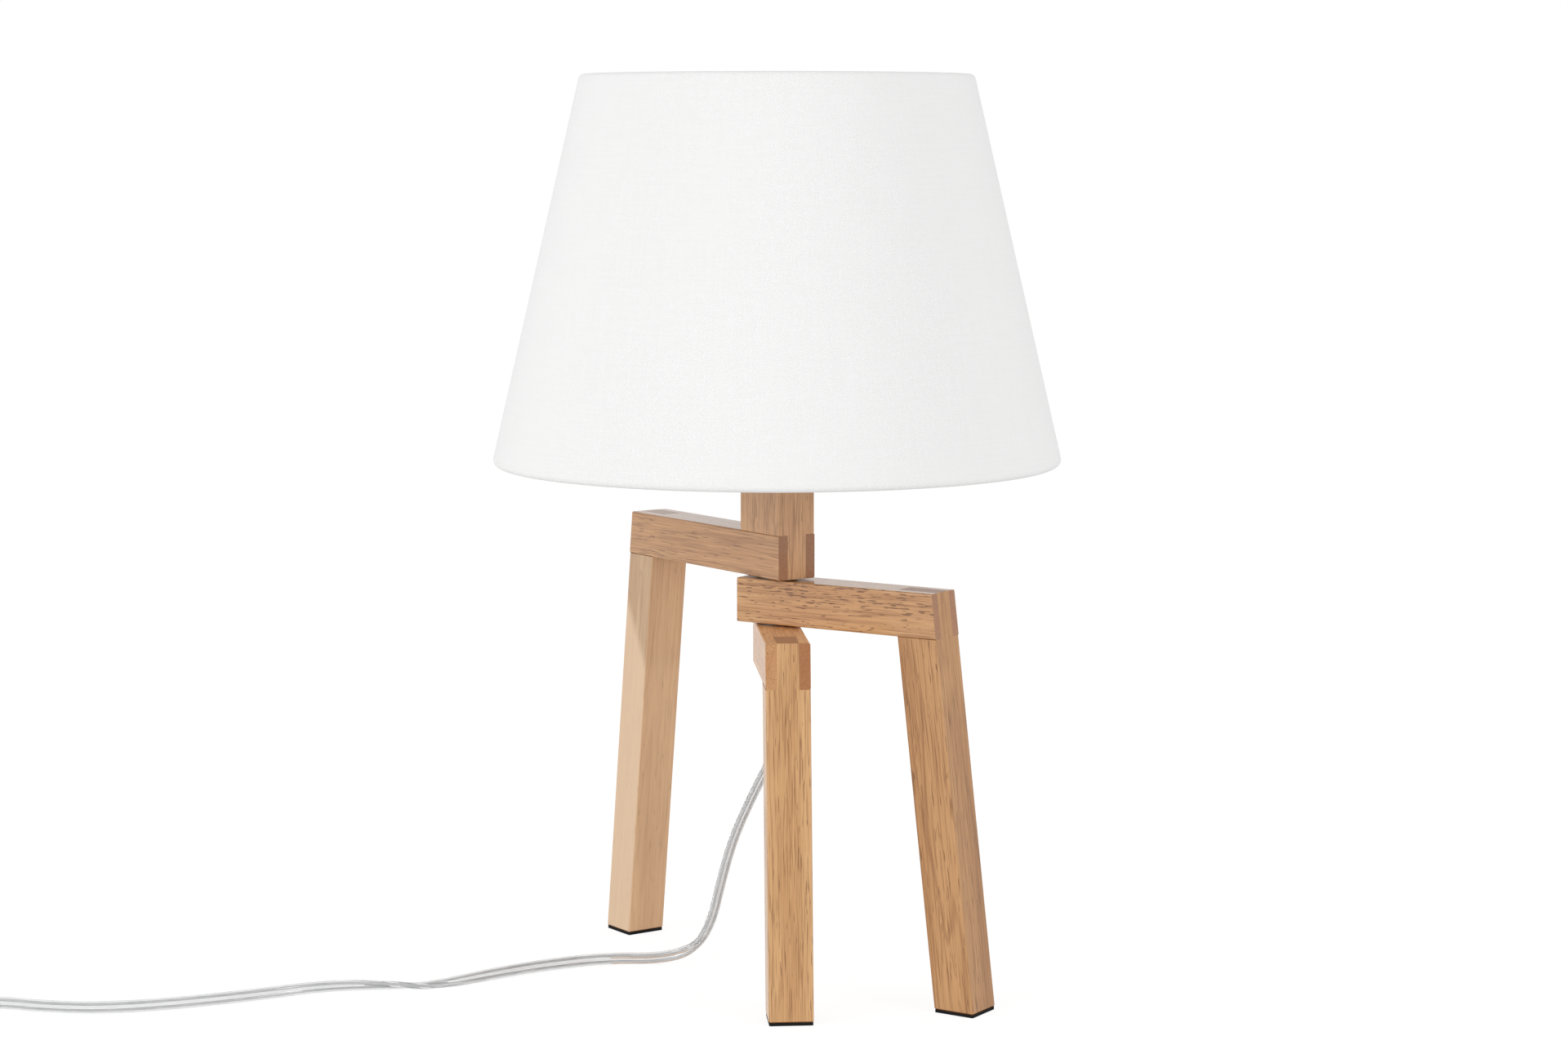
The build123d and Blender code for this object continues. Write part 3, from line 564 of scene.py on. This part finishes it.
def piece(name, verts, faces, body="stand"):
    """A new closed mesh piece that rides on a body, smooth up to its sharp edges."""
    mesh = bpy.data.meshes.new(name)
    mesh.from_pydata([tuple(v) for v in verts], [], faces)
    shape = bmesh.new()
    shape.from_mesh(mesh)
    bmesh.ops.recalc_face_normals(shape, faces=shape.faces)
    shape.to_mesh(mesh)
    shape.free()
    mesh.shade_smooth()
    mesh.set_sharp_from_angle(angle=math.radians(SHARP_ANGLE))
    made = put(name, mesh)
    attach(made, body)
    return made


def grid_faces(rings, around):
    """Quads between closed rings of points."""
    faces = []
    for ring in range(rings - 1):
        for spot in range(around):
            a = ring * around + spot
            b = ring * around + (spot + 1) % around
            faces.append((a, b, b + around, a + around))
    return faces


def ring_faces(rings, around):
    """Quads between closed rings of points, where the last ring meets the first."""
    return [tuple(v % (rings * around) for v in face) for face in grid_faces(rings + 1, around)]


def turned(name, angles, outline):
    """A ring about the axis whose outline, a loop of (radius, height) points, may change with the angle."""
    verts = []
    for angle in angles:
        verts += [(r * math.cos(angle), r * math.sin(angle), z) for r, z in outline(angle)]
    return piece(name, verts, ring_faces(len(angles), len(verts) // len(angles)))


def swept(name, frames, section, shares=None, body="stand"):
    """A closed tube whose section, in (width, thickness) points, follows frames of (point, wide, flat)."""
    verts = []
    for spot, (point, wide, flat) in enumerate(frames):
        share_x, share_y = shares[spot] if shares else (1.0, 1.0)
        ring = [point + wide * (x * share_x) + flat * (y * share_y) for x, y in section]
        lift = max(0.0, FLOOR_CLEARANCE - min(v.z for v in ring))
        verts += [v + Vector((0, 0, lift)) for v in ring]
    around = len(section)
    faces = grid_faces(len(frames), around)
    faces.append(tuple(reversed(range(around))))
    faces.append(tuple(range(len(verts) - around, len(verts))))
    return piece(name, verts, faces, body)


def arc(centre, radius, first, sweep, steps=10):
    """Points on an arc, from an angle and over a sweep, both in radians."""
    points = []
    for count in range(steps + 1):
        angle = first + sweep * count / steps
        points.append(Vector((centre[0] + radius * math.cos(angle), centre[1] + radius * math.sin(angle))))
    return points


def circle(radius, sides, centre=(0, 0)):
    """Points round a circle."""
    return arc(centre, radius, 0, TURN * (sides - 1) / sides, sides - 1)


def held(value):
    """A value held between 0 and 1."""
    return min(max(value, 0.0), 1.0)


def ease(value):
    """A smooth step of a value that is held between 0 and 1."""
    share = held(value)
    return share * share * (3 - 2 * share)


def middle_and_half(name):
    """A node's middle and its half size."""
    low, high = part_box(name)
    return (low + high) / 2, (high - low) / 2


# Finishes of the wooden beams: how each is turned, a seed, its two tones and how open its pores are.
# Some also say how bold the figure is, how much lacquer lies on it, that its pores make a band, another
# tone of its flat faces and where that ends, which is painted shade on the middle leg and painted light on
# the lower arm, the share of paler wood below a slanting level, and how fair one half of its end grain is.
PINK = ((0.6, 0.326, 0.145), (0.49, 0.245, 0.102))
ROSE = ((0.64, 0.35, 0.16), (0.525, 0.263, 0.113))
TAN = ((0.665, 0.365, 0.155), (0.555, 0.28, 0.109))
HONEY = ((0.69, 0.4, 0.178), (0.58, 0.308, 0.126))
RUSSET = ((0.62, 0.335, 0.142), (0.466, 0.231, 0.091))
AMBER = ((0.71, 0.38, 0.162), (0.6, 0.291, 0.113))
CREAM = ((0.635, 0.43, 0.258), (0.55, 0.35, 0.202))
PALE_LOW_TONE = (0.842, 0.598, 0.396)
BEAMS = {
    "post": dict(turn=(0, 90, TOP_AZIMUTH), seed=1, tones=ROSE, pores=0.03),
    "top_arm": dict(turn=(0, 0, TOP_AZIMUTH), seed=2, tones=PINK, pores=0.02),
    "top_leg": dict(
        turn=(0, LEG_TURN, TOP_AZIMUTH),
        seed=3,
        tones=CREAM,
        pores=-0.03,
        figure=0.5,
        gloss=0.5,
        # the flat faces lighter and warmer all over, and the side faces paler below a slanting level
        flat_tone_and_light=(1.17, 1.07, 0.98),
        pale_low_share=0.75,
    ),
    "middle_arm": dict(turn=(0, 0, MIDDLE_AZIMUTH), seed=4, tones=TAN, pores=0.03, banded=True),
    "middle_leg": dict(
        turn=(0, LEG_TURN, MIDDLE_AZIMUTH),
        seed=5,
        tones=RUSSET,
        pores=0.01,
        gloss=0.4,
        # painted shade: both flat faces, the seen one looking right and to the front, are darker below a
        # height
        flat_tone_and_light=(0.85, 0.82, 0.8),
        flat_tone_and_light_top=142 * MM,
    ),
    "lower_arm": dict(
        turn=(0, 0, LOWER_AZIMUTH),
        seed=6,
        tones=AMBER,
        pores=0.01,
        figure=0.7,
        gloss=0.6,
        # painted light: the top face, which the middle arm shades, is made lighter, and so is the face
        # beneath
        flat_tone_and_light=(1.26, 1.25, 1.26),
        fair_end=0.6,
    ),
    "lower_leg": dict(
        turn=(0, LEG_TURN, LOWER_AZIMUTH),
        seed=7,
        tones=HONEY,
        pores=0.0,
        figure=1.25,
        gloss=0.6,
    ),
}
for name, settings in BEAMS.items():
    paint(nodes[name], wood("wood_" + name, **settings))

# Finishes of the other nodes
PLASTIC_WHITE = (0.84, 0.84, 0.83)
plastic = moulded("white_plastic", PLASTIC_WHITE, 0.38)
split_plastic = moulded("switch_plastic", PLASTIC_WHITE, 0.38, seam=SPLIT_Z)
ceramic = moulded("socket_ceramic", (0.8, 0.78, 0.74), 0.55, grain=900.0, depth=0.05 * MM)
wire_paint = moulded("white_wire", (0.86, 0.86, 0.85), 0.35, grain=1200.0, depth=0.03 * MM)
rubber = moulded("foot_pad", (0.012, 0.011, 0.011), 0.85, grain=1600.0, depth=0.08 * MM, shine=0.15)
liner = moulded("shade_liner", (0.92, 0.92, 0.91), 0.5, grain=1500.0, depth=0.01 * MM, uneven=0.01)
zinc = metal("zinc_steel", (0.62, 0.62, 0.64), 0.36)
brass = metal("brass", (0.76, 0.58, 0.28), 0.3)
tin = metal("tinned_strands", (0.56, 0.56, 0.57), 0.35, drawn=(150, 150, 150))
jacket_plastic = clear_jacket()
FINISHES = {
    rubber: ["top_foot_pad", "middle_foot_pad", "lower_foot_pad"],
    zinc: ["centre_tube", "clamp_washer", "clamp_nut"],
    metal("dark_steel", (0.09, 0.085, 0.08), 0.55): ["upper_swivel_washer", "lower_swivel_washer"],
    metal("screw_steel", (0.6, 0.6, 0.62), 0.3): ["cord_grip_screw", "switch_pivot", "switch_screws"],
    plastic: ["cord_grip", "holder_cap", "shade_clamp_ring", "switch_rocker", "plug_body"],
    split_plastic: ["switch_base", "switch_cover"],
    ceramic: ["socket_insert"],
    brass: ["centre_contact"],
    wire_paint: ["shade_top_ring", "shade_bottom_ring", "shade_spokes", "fitter_ring"],
    jacket_plastic: ["inner_cord"],
}
for material, names in FINISHES.items():
    for name in names:
        paint(nodes[name], material)


def shade_cover():
    """The shade's fabric over its liner, rolled round both wires, with a lapped seam at the back."""
    rims = []
    for name in ("shade_bottom_ring", "shade_top_ring"):
        centre, half = middle_and_half(name)
        rims.append(Vector((half.x - half.z, centre.z)))
    bottom, top = rims
    roll = bottom.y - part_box("shade_skin")[0].z
    lean = math.atan2(bottom.x - top.x, top.y - bottom.y)
    out = Vector((math.cos(lean), math.sin(lean)))

    def side(first, last, distance):
        """Points down a straight side, with one close to each end that keeps the side's shading even."""
        return [first.lerp(last, share) + out * distance for share in SIDE_SHARES]

    outside = arc(top, roll, math.pi + lean, -math.pi) + side(top, bottom, roll)
    outside += arc(bottom, roll, lean, -math.pi)
    inside = arc(bottom, roll - SKIN, lean - math.pi, math.pi)
    inside_side = len(outside) + len(inside)
    inside += side(bottom, top, roll - SKIN) + arc(top, roll - SKIN, lean, math.pi)
    lap = SEAM_LAP / bottom.x
    back = math.pi / 2
    angles = [TURN * count / SHADE_FACETS for count in range(SHADE_FACETS)]
    angles += [back + end * (lap / 2 + nudge) for end in (-1, 1) for nudge in (0.0, SEAM_EDGE)]
    angles.sort()

    def outline(angle):
        """The outline, a little proud where the seam laps."""
        lift = SEAM_LIFT if abs(angle - back) <= lap / 2 + ANGLE_TOLERANCE else 0.0
        return [(p.x + lift, p.y) for p in outside] + [(p.x, p.y) for p in inside]

    cover = turned("shade_cover", angles, outline)
    paint(cover, fabric(), liner)
    around = len(outside) + len(inside)
    for polygon in cover.data.polygons:
        spot = min(v % around for v in polygon.vertices)
        polygon.material_index = int(inside_side - 1 <= spot <= inside_side + 2)
    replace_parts(cover, "shade_skin")


def thread_heights(low, high, pitch):
    """Even steps up a thread."""
    count = round((high - low) / pitch * THREAD_STEPS_PER_PITCH)
    return [low + (high - low) * step / count for step in range(count + 1)]


def thread_wave(height, angle, pitch, low, high):
    """Rise of a right-hand thread, from -1 to 1, which fades out at both ends."""
    fade = ease((height - low) / pitch) * ease((high - height) / pitch)
    return fade * math.sin(TURN * height / pitch - angle)


def lampholder_threads():
    """The lampholder's shell with its outer screw thread, and the pressed brass screw inside it."""
    angles = [TURN * count / THREAD_FACETS for count in range(THREAD_FACETS)]
    bore_r = HOLDER_R - HOLDER_WALL
    low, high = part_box("holder_shell")
    start, stop = low.z + FLANGE_HEIGHT, high.z - LIP_BEVEL
    shell_heights = thread_heights(start, stop, OUTER_THREAD_PITCH)

    def shell_outline(angle):
        """Up the outside over the thread, and down the bore."""
        loop = [(bore_r, low.z), (high.x, low.z), (high.x, start)]
        for height in shell_heights:
            wave = thread_wave(height, angle, OUTER_THREAD_PITCH, start, stop)
            squared = max(-1.0, min(1.0, OUTER_THREAD_SQUARENESS * wave))
            sunk = OUTER_THREAD_DEPTH / 2 * (1 + squared)
            loop.append((HOLDER_R - sunk, height))
        loop.append((HOLDER_R - OUTER_THREAD_DEPTH / 2 - LIP_BEVEL, high.z))
        return loop + [(LIP_R, high.z), (LIP_R, high.z - LIP_HEIGHT), (bore_r, high.z - LIP_HEIGHT)]

    shell = turned("holder_threaded_shell", angles, shell_outline)
    paint(shell, plastic)
    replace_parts(shell, "holder_shell")

    floor_z, rim_z = (corner.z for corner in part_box("thread_sleeve"))
    sleeve_heights = thread_heights(floor_z, rim_z, SOCKET_PITCH)

    def sleeve_outline(angle):
        """Up the inside of the sheet and down its outside."""
        radii = []
        for height in sleeve_heights:
            wave = thread_wave(height, angle, SOCKET_PITCH, floor_z, rim_z)
            radii.append(SOCKET_R + SOCKET_THREAD * wave)
        inside = list(zip(radii, sleeve_heights))
        return inside + [(radius + SOCKET_WALL, height) for radius, height in reversed(inside)]

    sleeve = turned("socket_screw", angles, sleeve_outline)
    paint(sleeve, brass)
    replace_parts(sleeve, "thread_sleeve")


shade_cover()
lampholder_threads()


def coil_points():
    """Control points of the put-away coil: a spiral in, up one layer, and out again."""
    radii = [COIL_OUTER_R - COIL_PITCH / 2 * k for k in range(COIL_HALF_TURNS)] + [COIL_CLIMB_R]
    stops = [(radius, COIL_LOW_Z) for radius in radii]
    stops += [(radius, COIL_LOW_Z + COIL_PITCH) for radius in reversed(radii)]
    swell = 1 / math.cos(math.pi / (2 * COIL_POINTS_PER_HALF_TURN))
    points = []
    total = (len(stops) - 1) * COIL_POINTS_PER_HALF_TURN
    for count in range(total + 1):
        turn, part = divmod(count, COIL_POINTS_PER_HALF_TURN)
        share = part / COIL_POINTS_PER_HALF_TURN
        (r0, z0), (r1, z1) = stops[turn], stops[min(turn + 1, len(stops) - 1)]
        radius = (r0 + (r1 - r0) * share) * swell
        angle = -math.pi / 2 - math.pi * count / COIL_POINTS_PER_HALF_TURN
        spot = Vector((radius * math.cos(angle), radius * math.sin(angle), z0 + (z1 - z0) * share))
        points.append(COIL_CENTRE + spot)
    return points


def cord_line():
    """Points along the cord's smooth line, read from one spline from the grip to the plug."""
    controls = [Vector(point) * MM for point in LEAD_ROUTE]
    controls.append(Vector((SWITCH_LEFT + CORD_INTO_SWITCH, SWITCH_Y, SPLIT_Z)))
    controls.append(Vector((SWITCH_LEFT - CORD_STUB, SWITCH_Y, SPLIT_Z)))
    controls.append(Vector((SWITCH_LEFT - COIL_APPROACH, SWITCH_Y, (SPLIT_Z + COIL_LOW_Z) / 2)))
    controls += coil_points()
    controls.append(PLUG_TAIL + Vector((-CORD_STUB - PLUG_APPROACH, 0, PLUG_APPROACH_RISE)))
    controls.append(PLUG_TAIL - Vector((CORD_STUB, 0, 0)))
    controls.append(PLUG_TAIL + Vector((CORD_INTO_PLUG, 0, 0)))
    curve = bpy.data.curves.new("cord_line", "CURVE")
    curve.dimensions = "3D"
    spline = curve.splines.new("NURBS")
    spline.points.add(len(controls) - 1)
    for spot, control in zip(spline.points, controls):
        spot.co = (*control, 1)
    spline.order_u = 3
    spline.use_endpoint_u = True
    spline.resolution_u = CORD_SPLINE_STEPS
    holder = put("cord_line", curve)
    mesh = bpy.data.meshes.new_from_object(holder)
    points = [vert.co.copy() for vert in mesh.vertices]
    bpy.data.objects.remove(holder)
    bpy.data.meshes.remove(mesh)
    return points


def cord_frames(points):
    """At each point of the cord: the point, the direction of its width and that of its thickness.

    The flat cord lies on its edge along the floor, and turns over once on its way.
    """
    frames = []
    travelled = 0.0
    for spot, point in enumerate(points):
        before, after = points[max(spot - 1, 0)], points[min(spot + 1, len(points) - 1)]
        along = (after - before).normalized()
        travelled += (point - before).length
        steep = ease((abs(along.z) - STEEP_FROM) / STEEP_SPAN)
        wide = Vector((0, 0, 1)).lerp(HANG_WIDE, steep)
        wide = (wide - along * wide.dot(along)).normalized()
        sway = held((travelled - SWAY_START) / SWAY_FADE_IN) * held((SWAY_END - travelled) / SWAY_FADE_OUT)
        roll = SWAY_ROLL * sway * math.sin(TURN * travelled / SWAY_PERIOD)
        roll += math.pi * ease((TWIST_X - point.x) / TWIST_LENGTH + 0.5)
        wide = wide * math.cos(roll) + along.cross(wide) * math.sin(roll)
        middle = point.copy()
        if point.z <= CORD_FLOOR_Z:
            middle.z = LOBE_R + LOBE_OFFSET * abs(wide.z) + FLOOR_CLEARANCE
        frames.append((middle, wide, along.cross(wide)))
    return frames


def jacket_section():
    """The figure-of-eight outline of the flat twin cord."""
    right = arc((LOBE_OFFSET, 0), LOBE_R, -LOBE_REACH, 2 * LOBE_REACH)
    left = arc((-LOBE_OFFSET, 0), LOBE_R, math.pi - LOBE_REACH, 2 * LOBE_REACH)
    return right + [Vector((0, CORD_WEB / 2))] + left + [Vector((0, -CORD_WEB / 2))]


def tie_strap(points):
    """A woven strap drawn once round the coil's turns, whose rounded tongue lies over its start."""
    centre, half = middle_and_half("cord_tie")
    near = [p.x for p in points if abs(p.y - centre.y) < half.y and abs(p.x - centre.x) < half.x]
    snug = (CORD_THICKNESS + TIE_THICKNESS) / 2
    centre.x = (min(near) + max(near)) / 2
    top = half.z - TIE_THICKNESS / 2
    flat_x, flat_z = max(near) + snug - centre.x - TIE_BEND, top - TIE_BEND
    line = [Vector((TIE_START, top))]
    for side, level, first in ((-1, 1, 1), (-1, -1, 2), (1, -1, 3), (1, 1, 4)):
        line += arc((side * flat_x, level * flat_z), TIE_BEND, first * TURN / 4, TURN / 4, steps=8)
    climb = flat_x - TIE_START - TIE_RISE_GAP
    for count in range(1, TIE_STEPS + 1):
        x = flat_x + (TIE_TONGUE - flat_x) * count / TIE_STEPS
        rise = TIE_STACK * TIE_THICKNESS * ease((flat_x - x) / climb)
        line.append(Vector((x, top + rise)))
    frames, shares = [], []
    for spot, point in enumerate(line):
        run = line[min(spot + 1, len(line) - 1)] - line[max(spot - 1, 0)]
        flat = Vector((-run.y, 0, run.x)).normalized()
        frames.append((centre + Vector((point.x, 0, point.y)), Vector((0, 1, 0)), flat))
        left = (point.x - TIE_TONGUE) / half.y if spot > len(line) - TIE_STEPS else 1.0
        rounding = math.sqrt(max(1 - (1 - min(left, 1.0)) ** 2, 0.0))
        shares.append((max(rounding, TIE_TIP_SHARE), 1.0))
    section = []
    for count in range(TIE_SIDES):
        angle = TURN * count / TIE_SIDES
        wide, thick = math.cos(angle), math.sin(angle)
        wide = math.copysign(abs(wide) ** TIE_EDGE_POWER, wide) * half.y
        thick = math.copysign(abs(thick) ** TIE_FACE_POWER, thick) * TIE_THICKNESS / 2
        section.append((wide, thick))
    strap = swept("tie_strap", frames, section, shares)
    paint(strap, woven_strap())
    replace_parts(strap, "cord_tie")
    return strap


def rounded_bar(name, first, last, radius, up, slot, body="stand"):
    """A round bar between two points, with domed ends."""
    along = (last - first).normalized()
    frames, shares = [], []
    for end, base, sign in ((0, first, -1), (1, last, 1)):
        for count in range(DOME_STEPS + 1):
            turn = TURN / 4 * (count / DOME_STEPS if end else 1 - count / DOME_STEPS)
            frames.append((base + along * (sign * radius * math.sin(turn)), along.cross(up), up))
            shares.append((max(math.cos(turn), DOME_TIP_SHARE),) * 2)
    return swept(name, frames, circle(radius, BAR_SIDES), shares, body)


def plug_ridges():
    """Finger ridges across the plug's taper."""
    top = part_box("plug_body")[1].z
    ridges = []
    for count in range(RIDGE_COUNT):
        reach = PLUG_TAIL_LENGTH + RIDGE_STEP * (count + RIDGE_START)
        share = min((reach - PLUG_TAIL_LENGTH) / PLUG_TAPER_LENGTH, 1.0)
        half = PLUG_TAIL_HALF + (PLUG_HALF - PLUG_TAIL_HALF) * share - RIDGE_MARGIN
        middle = Vector((PLUG_TAIL.x + reach, PLUG_TAIL.y, top - RIDGE_R / 2))
        ends = [middle + Vector((0, side * half, 0)) for side in (-1, 1)]
        ridge = rounded_bar(f"plug_ridge_{count + 1}", *ends, RIDGE_R, Vector((0, 0, 1)), "white_plastic")
        paint(ridge, plastic)
        ridges.append(ridge)
    return ridges


def plug_pins():
    """The two round pins with domed tips."""
    finish = sleeved_pins()
    low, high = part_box("plug_pins")
    radius = (high.z - low.z) / 2
    pins = []
    for label, y in (("left", high.y - radius), ("right", low.y + radius)):
        ends = [Vector((x, y, low.z + radius)) for x in (low.x + radius, high.x - radius)]
        pin = rounded_bar("plug_pin_" + label, *ends, radius, Vector((0, 0, 1)), "nickel")
        paint(pin, finish)
        pins.append(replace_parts(pin, "plug_pins"))
    return pins


def entry_collars():
    """Moulded collars that close the round entries of the switch and the plug on the flat cord."""
    switch_right = 2 * SWITCH_X - SWITCH_LEFT
    entries = {
        "switch_collar_left": (Vector((SWITCH_LEFT, SWITCH_Y, SPLIT_Z)), 1),
        "switch_collar_right": (Vector((switch_right, SWITCH_Y, SPLIT_Z)), -1),
        "plug_collar": (PLUG_TAIL, 1),
    }
    collars = []
    for name, (mouth, inward) in entries.items():
        frames, shares = [], []
        for depth, share in COLLAR_PROFILE:
            frames.append((mouth + Vector((inward * depth, 0, 0)), Vector((0, 1, 0)), Vector((0, 0, 1))))
            shares.append((share, share))
        collar = swept(name, frames, circle(COLLAR_R, BAR_SIDES), shares)
        paint(collar, plastic)
        collars.append(collar)
    return collars


def rocker_marks():
    """The raised bar and ring on the rocker's two slopes."""
    slope = math.atan2(ROCKER_DISH, ROCKER_HALF)
    pivot = Vector((SWITCH_X, SWITCH_Y, ROCKER_PIVOT_Z))
    tilt = Matrix.Rotation(-math.radians(ROCKER_TILT), 3, "Y")
    valley = pivot + tilt @ Vector((0, 0, ROCKER_RISE - ROCKER_DISH))
    wide = tilt @ Vector((0, 1, 0))
    marks = []
    for side, label in ((1, "bar"), (-1, "ring")):
        along = tilt @ Vector((side * math.cos(slope), 0, math.sin(slope)))
        up = tilt @ Vector((-side * math.sin(slope), 0, math.cos(slope)))
        middle = valley + along * MARK_RUN - up * MARK_SUNK
        if label == "bar":
            ends = [middle + along * (end * MARK_BAR_HALF) for end in (-1, 1)]
            mark = rounded_bar("rocker_bar", *ends, MARK_R, up, "white_plastic", "rocker")
        else:
            mark = ring_mark(middle, along, wide, up)
        paint(mark, moulded("mark_grey_" + label, (0.12, 0.12, 0.12), 0.5))
        marks.append(mark)
    return marks


def ring_mark(middle, along, wide, up):
    """A raised ring that lies on a slope of the rocker."""
    verts = []
    for spot in range(MARK_RING_FACETS):
        angle = TURN * spot / MARK_RING_FACETS
        out = along * math.cos(angle) + wide * math.sin(angle)
        for point in circle(MARK_R, MARK_RING_SIDES, (MARK_RING_R, 0)):
            verts.append(middle + out * point.x + up * point.y)
    faces = ring_faces(MARK_RING_FACETS, MARK_RING_SIDES)
    return piece("rocker_ring", verts, faces, "rocker")


def cord():
    """The clear flat twin cord with its two stranded conductors, on one unbroken line."""
    points = cord_line()
    frames = cord_frames(points)
    jacket = swept("cord", frames, jacket_section())
    paint(jacket, jacket_plastic)
    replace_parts(jacket, "cord_lead", "cord_coil")
    on_cord = [tie_strap(points), *plug_ridges(), *plug_pins(), *entry_collars(), *rocker_marks()]
    for side, label in ((-1, "left"), (1, "right")):
        wire = circle(STRAND_R, STRAND_SIDES, (side * LOBE_OFFSET, 0))
        strand = swept("cord_strand_" + label, frames, wire)
        paint(strand, tin)
        on_cord.append(strand)
    kept = ("switch_base", "switch_cover", "switch_rocker", "switch_pivot", "switch_screws", "plug_body")
    on_cord += [nodes[name] for name in kept]


cord()


def floor():
    """A wide white floor that keeps a soft shadow."""
    mesh = bpy.data.meshes.new("floor")
    corners = [(-1, -1, 0), (1, -1, 0), (1, 1, 0), (-1, 1, 0)]
    mesh.from_pydata([tuple(FLOOR_HALF * c for c in corner) for corner in corners], [], [(0, 1, 2, 3)])
    ground = put("floor", mesh)
    material = bpy.data.materials.new("floor")
    material.use_nodes = True
    material.node_tree.nodes.clear()
    tree = Tree(material.node_tree)
    bounce = tree.add("BsdfDiffuse", {"Color": (FLOOR_BOUNCE, FLOOR_BOUNCE, FLOOR_BOUNCE, 1)})
    seen = tree.add("BsdfDiffuse", {"Color": (FLOOR_SEEN, FLOOR_SEEN, FLOOR_SEEN, 1)})
    glow = tree.add("Emission", {"Strength": FLOOR_GLOW})
    both = tree.add("AddShader", {0: seen.outputs[0], 1: glow.outputs[0]})
    pick = tree.add("MixShader", {0: tree.seen_directly(), 1: bounce.outputs[0], 2: both.outputs[0]})
    tree.add("OutputMaterial", {"Surface": pick.outputs[0]})
    mesh.materials.append(material)


def surroundings():
    """White surroundings that light the lamp softly from all sides."""
    world = bpy.data.worlds.new("studio")
    world.use_nodes = True
    tree = Tree(world.node_tree)
    back = world.node_tree.nodes["Background"]
    back.inputs["Color"].default_value = (1, 1, 1, 1)
    strength = tree.add("Mix", {0: tree.seen_directly(), 2: WORLD_LIGHT, 3: WORLD_SEEN})
    tree.feed(back.inputs["Strength"], strength.outputs[0])
    bpy.context.scene.world = world


def soft_light(name, place, power):
    """A large square lamp aimed at the stand."""
    light = bpy.data.lights.new(name, "AREA")
    light.size = LAMP_SIZE
    light.energy = power
    lamp = put(name, light)
    lamp.location = place
    lamp.rotation_euler = (Vector(LAMP_TARGET) - Vector(place)).to_track_quat("-Z", "Y").to_euler()


def camera():
    """The camera at the photograph's viewing angle."""
    lens = bpy.data.cameras.new("camera")
    lens.sensor_fit = "HORIZONTAL"
    lens.sensor_width = SENSOR_WIDTH
    lens.lens = SENSOR_WIDTH * CAMERA_FOCAL_PIXELS / PHOTO_WIDTH_PIXELS
    eye = put("camera", lens)
    eye.location = CAMERA_PLACE
    eye.rotation_euler = (math.radians(90 - CAMERA_PITCH), 0, 0)
    bpy.context.scene.camera = eye


floor()
surroundings()
soft_light("key", KEY_PLACE, KEY_POWER)
soft_light("fill", FILL_PLACE, FILL_POWER)
camera()
bpy.context.scene.view_settings.view_transform = "Standard"
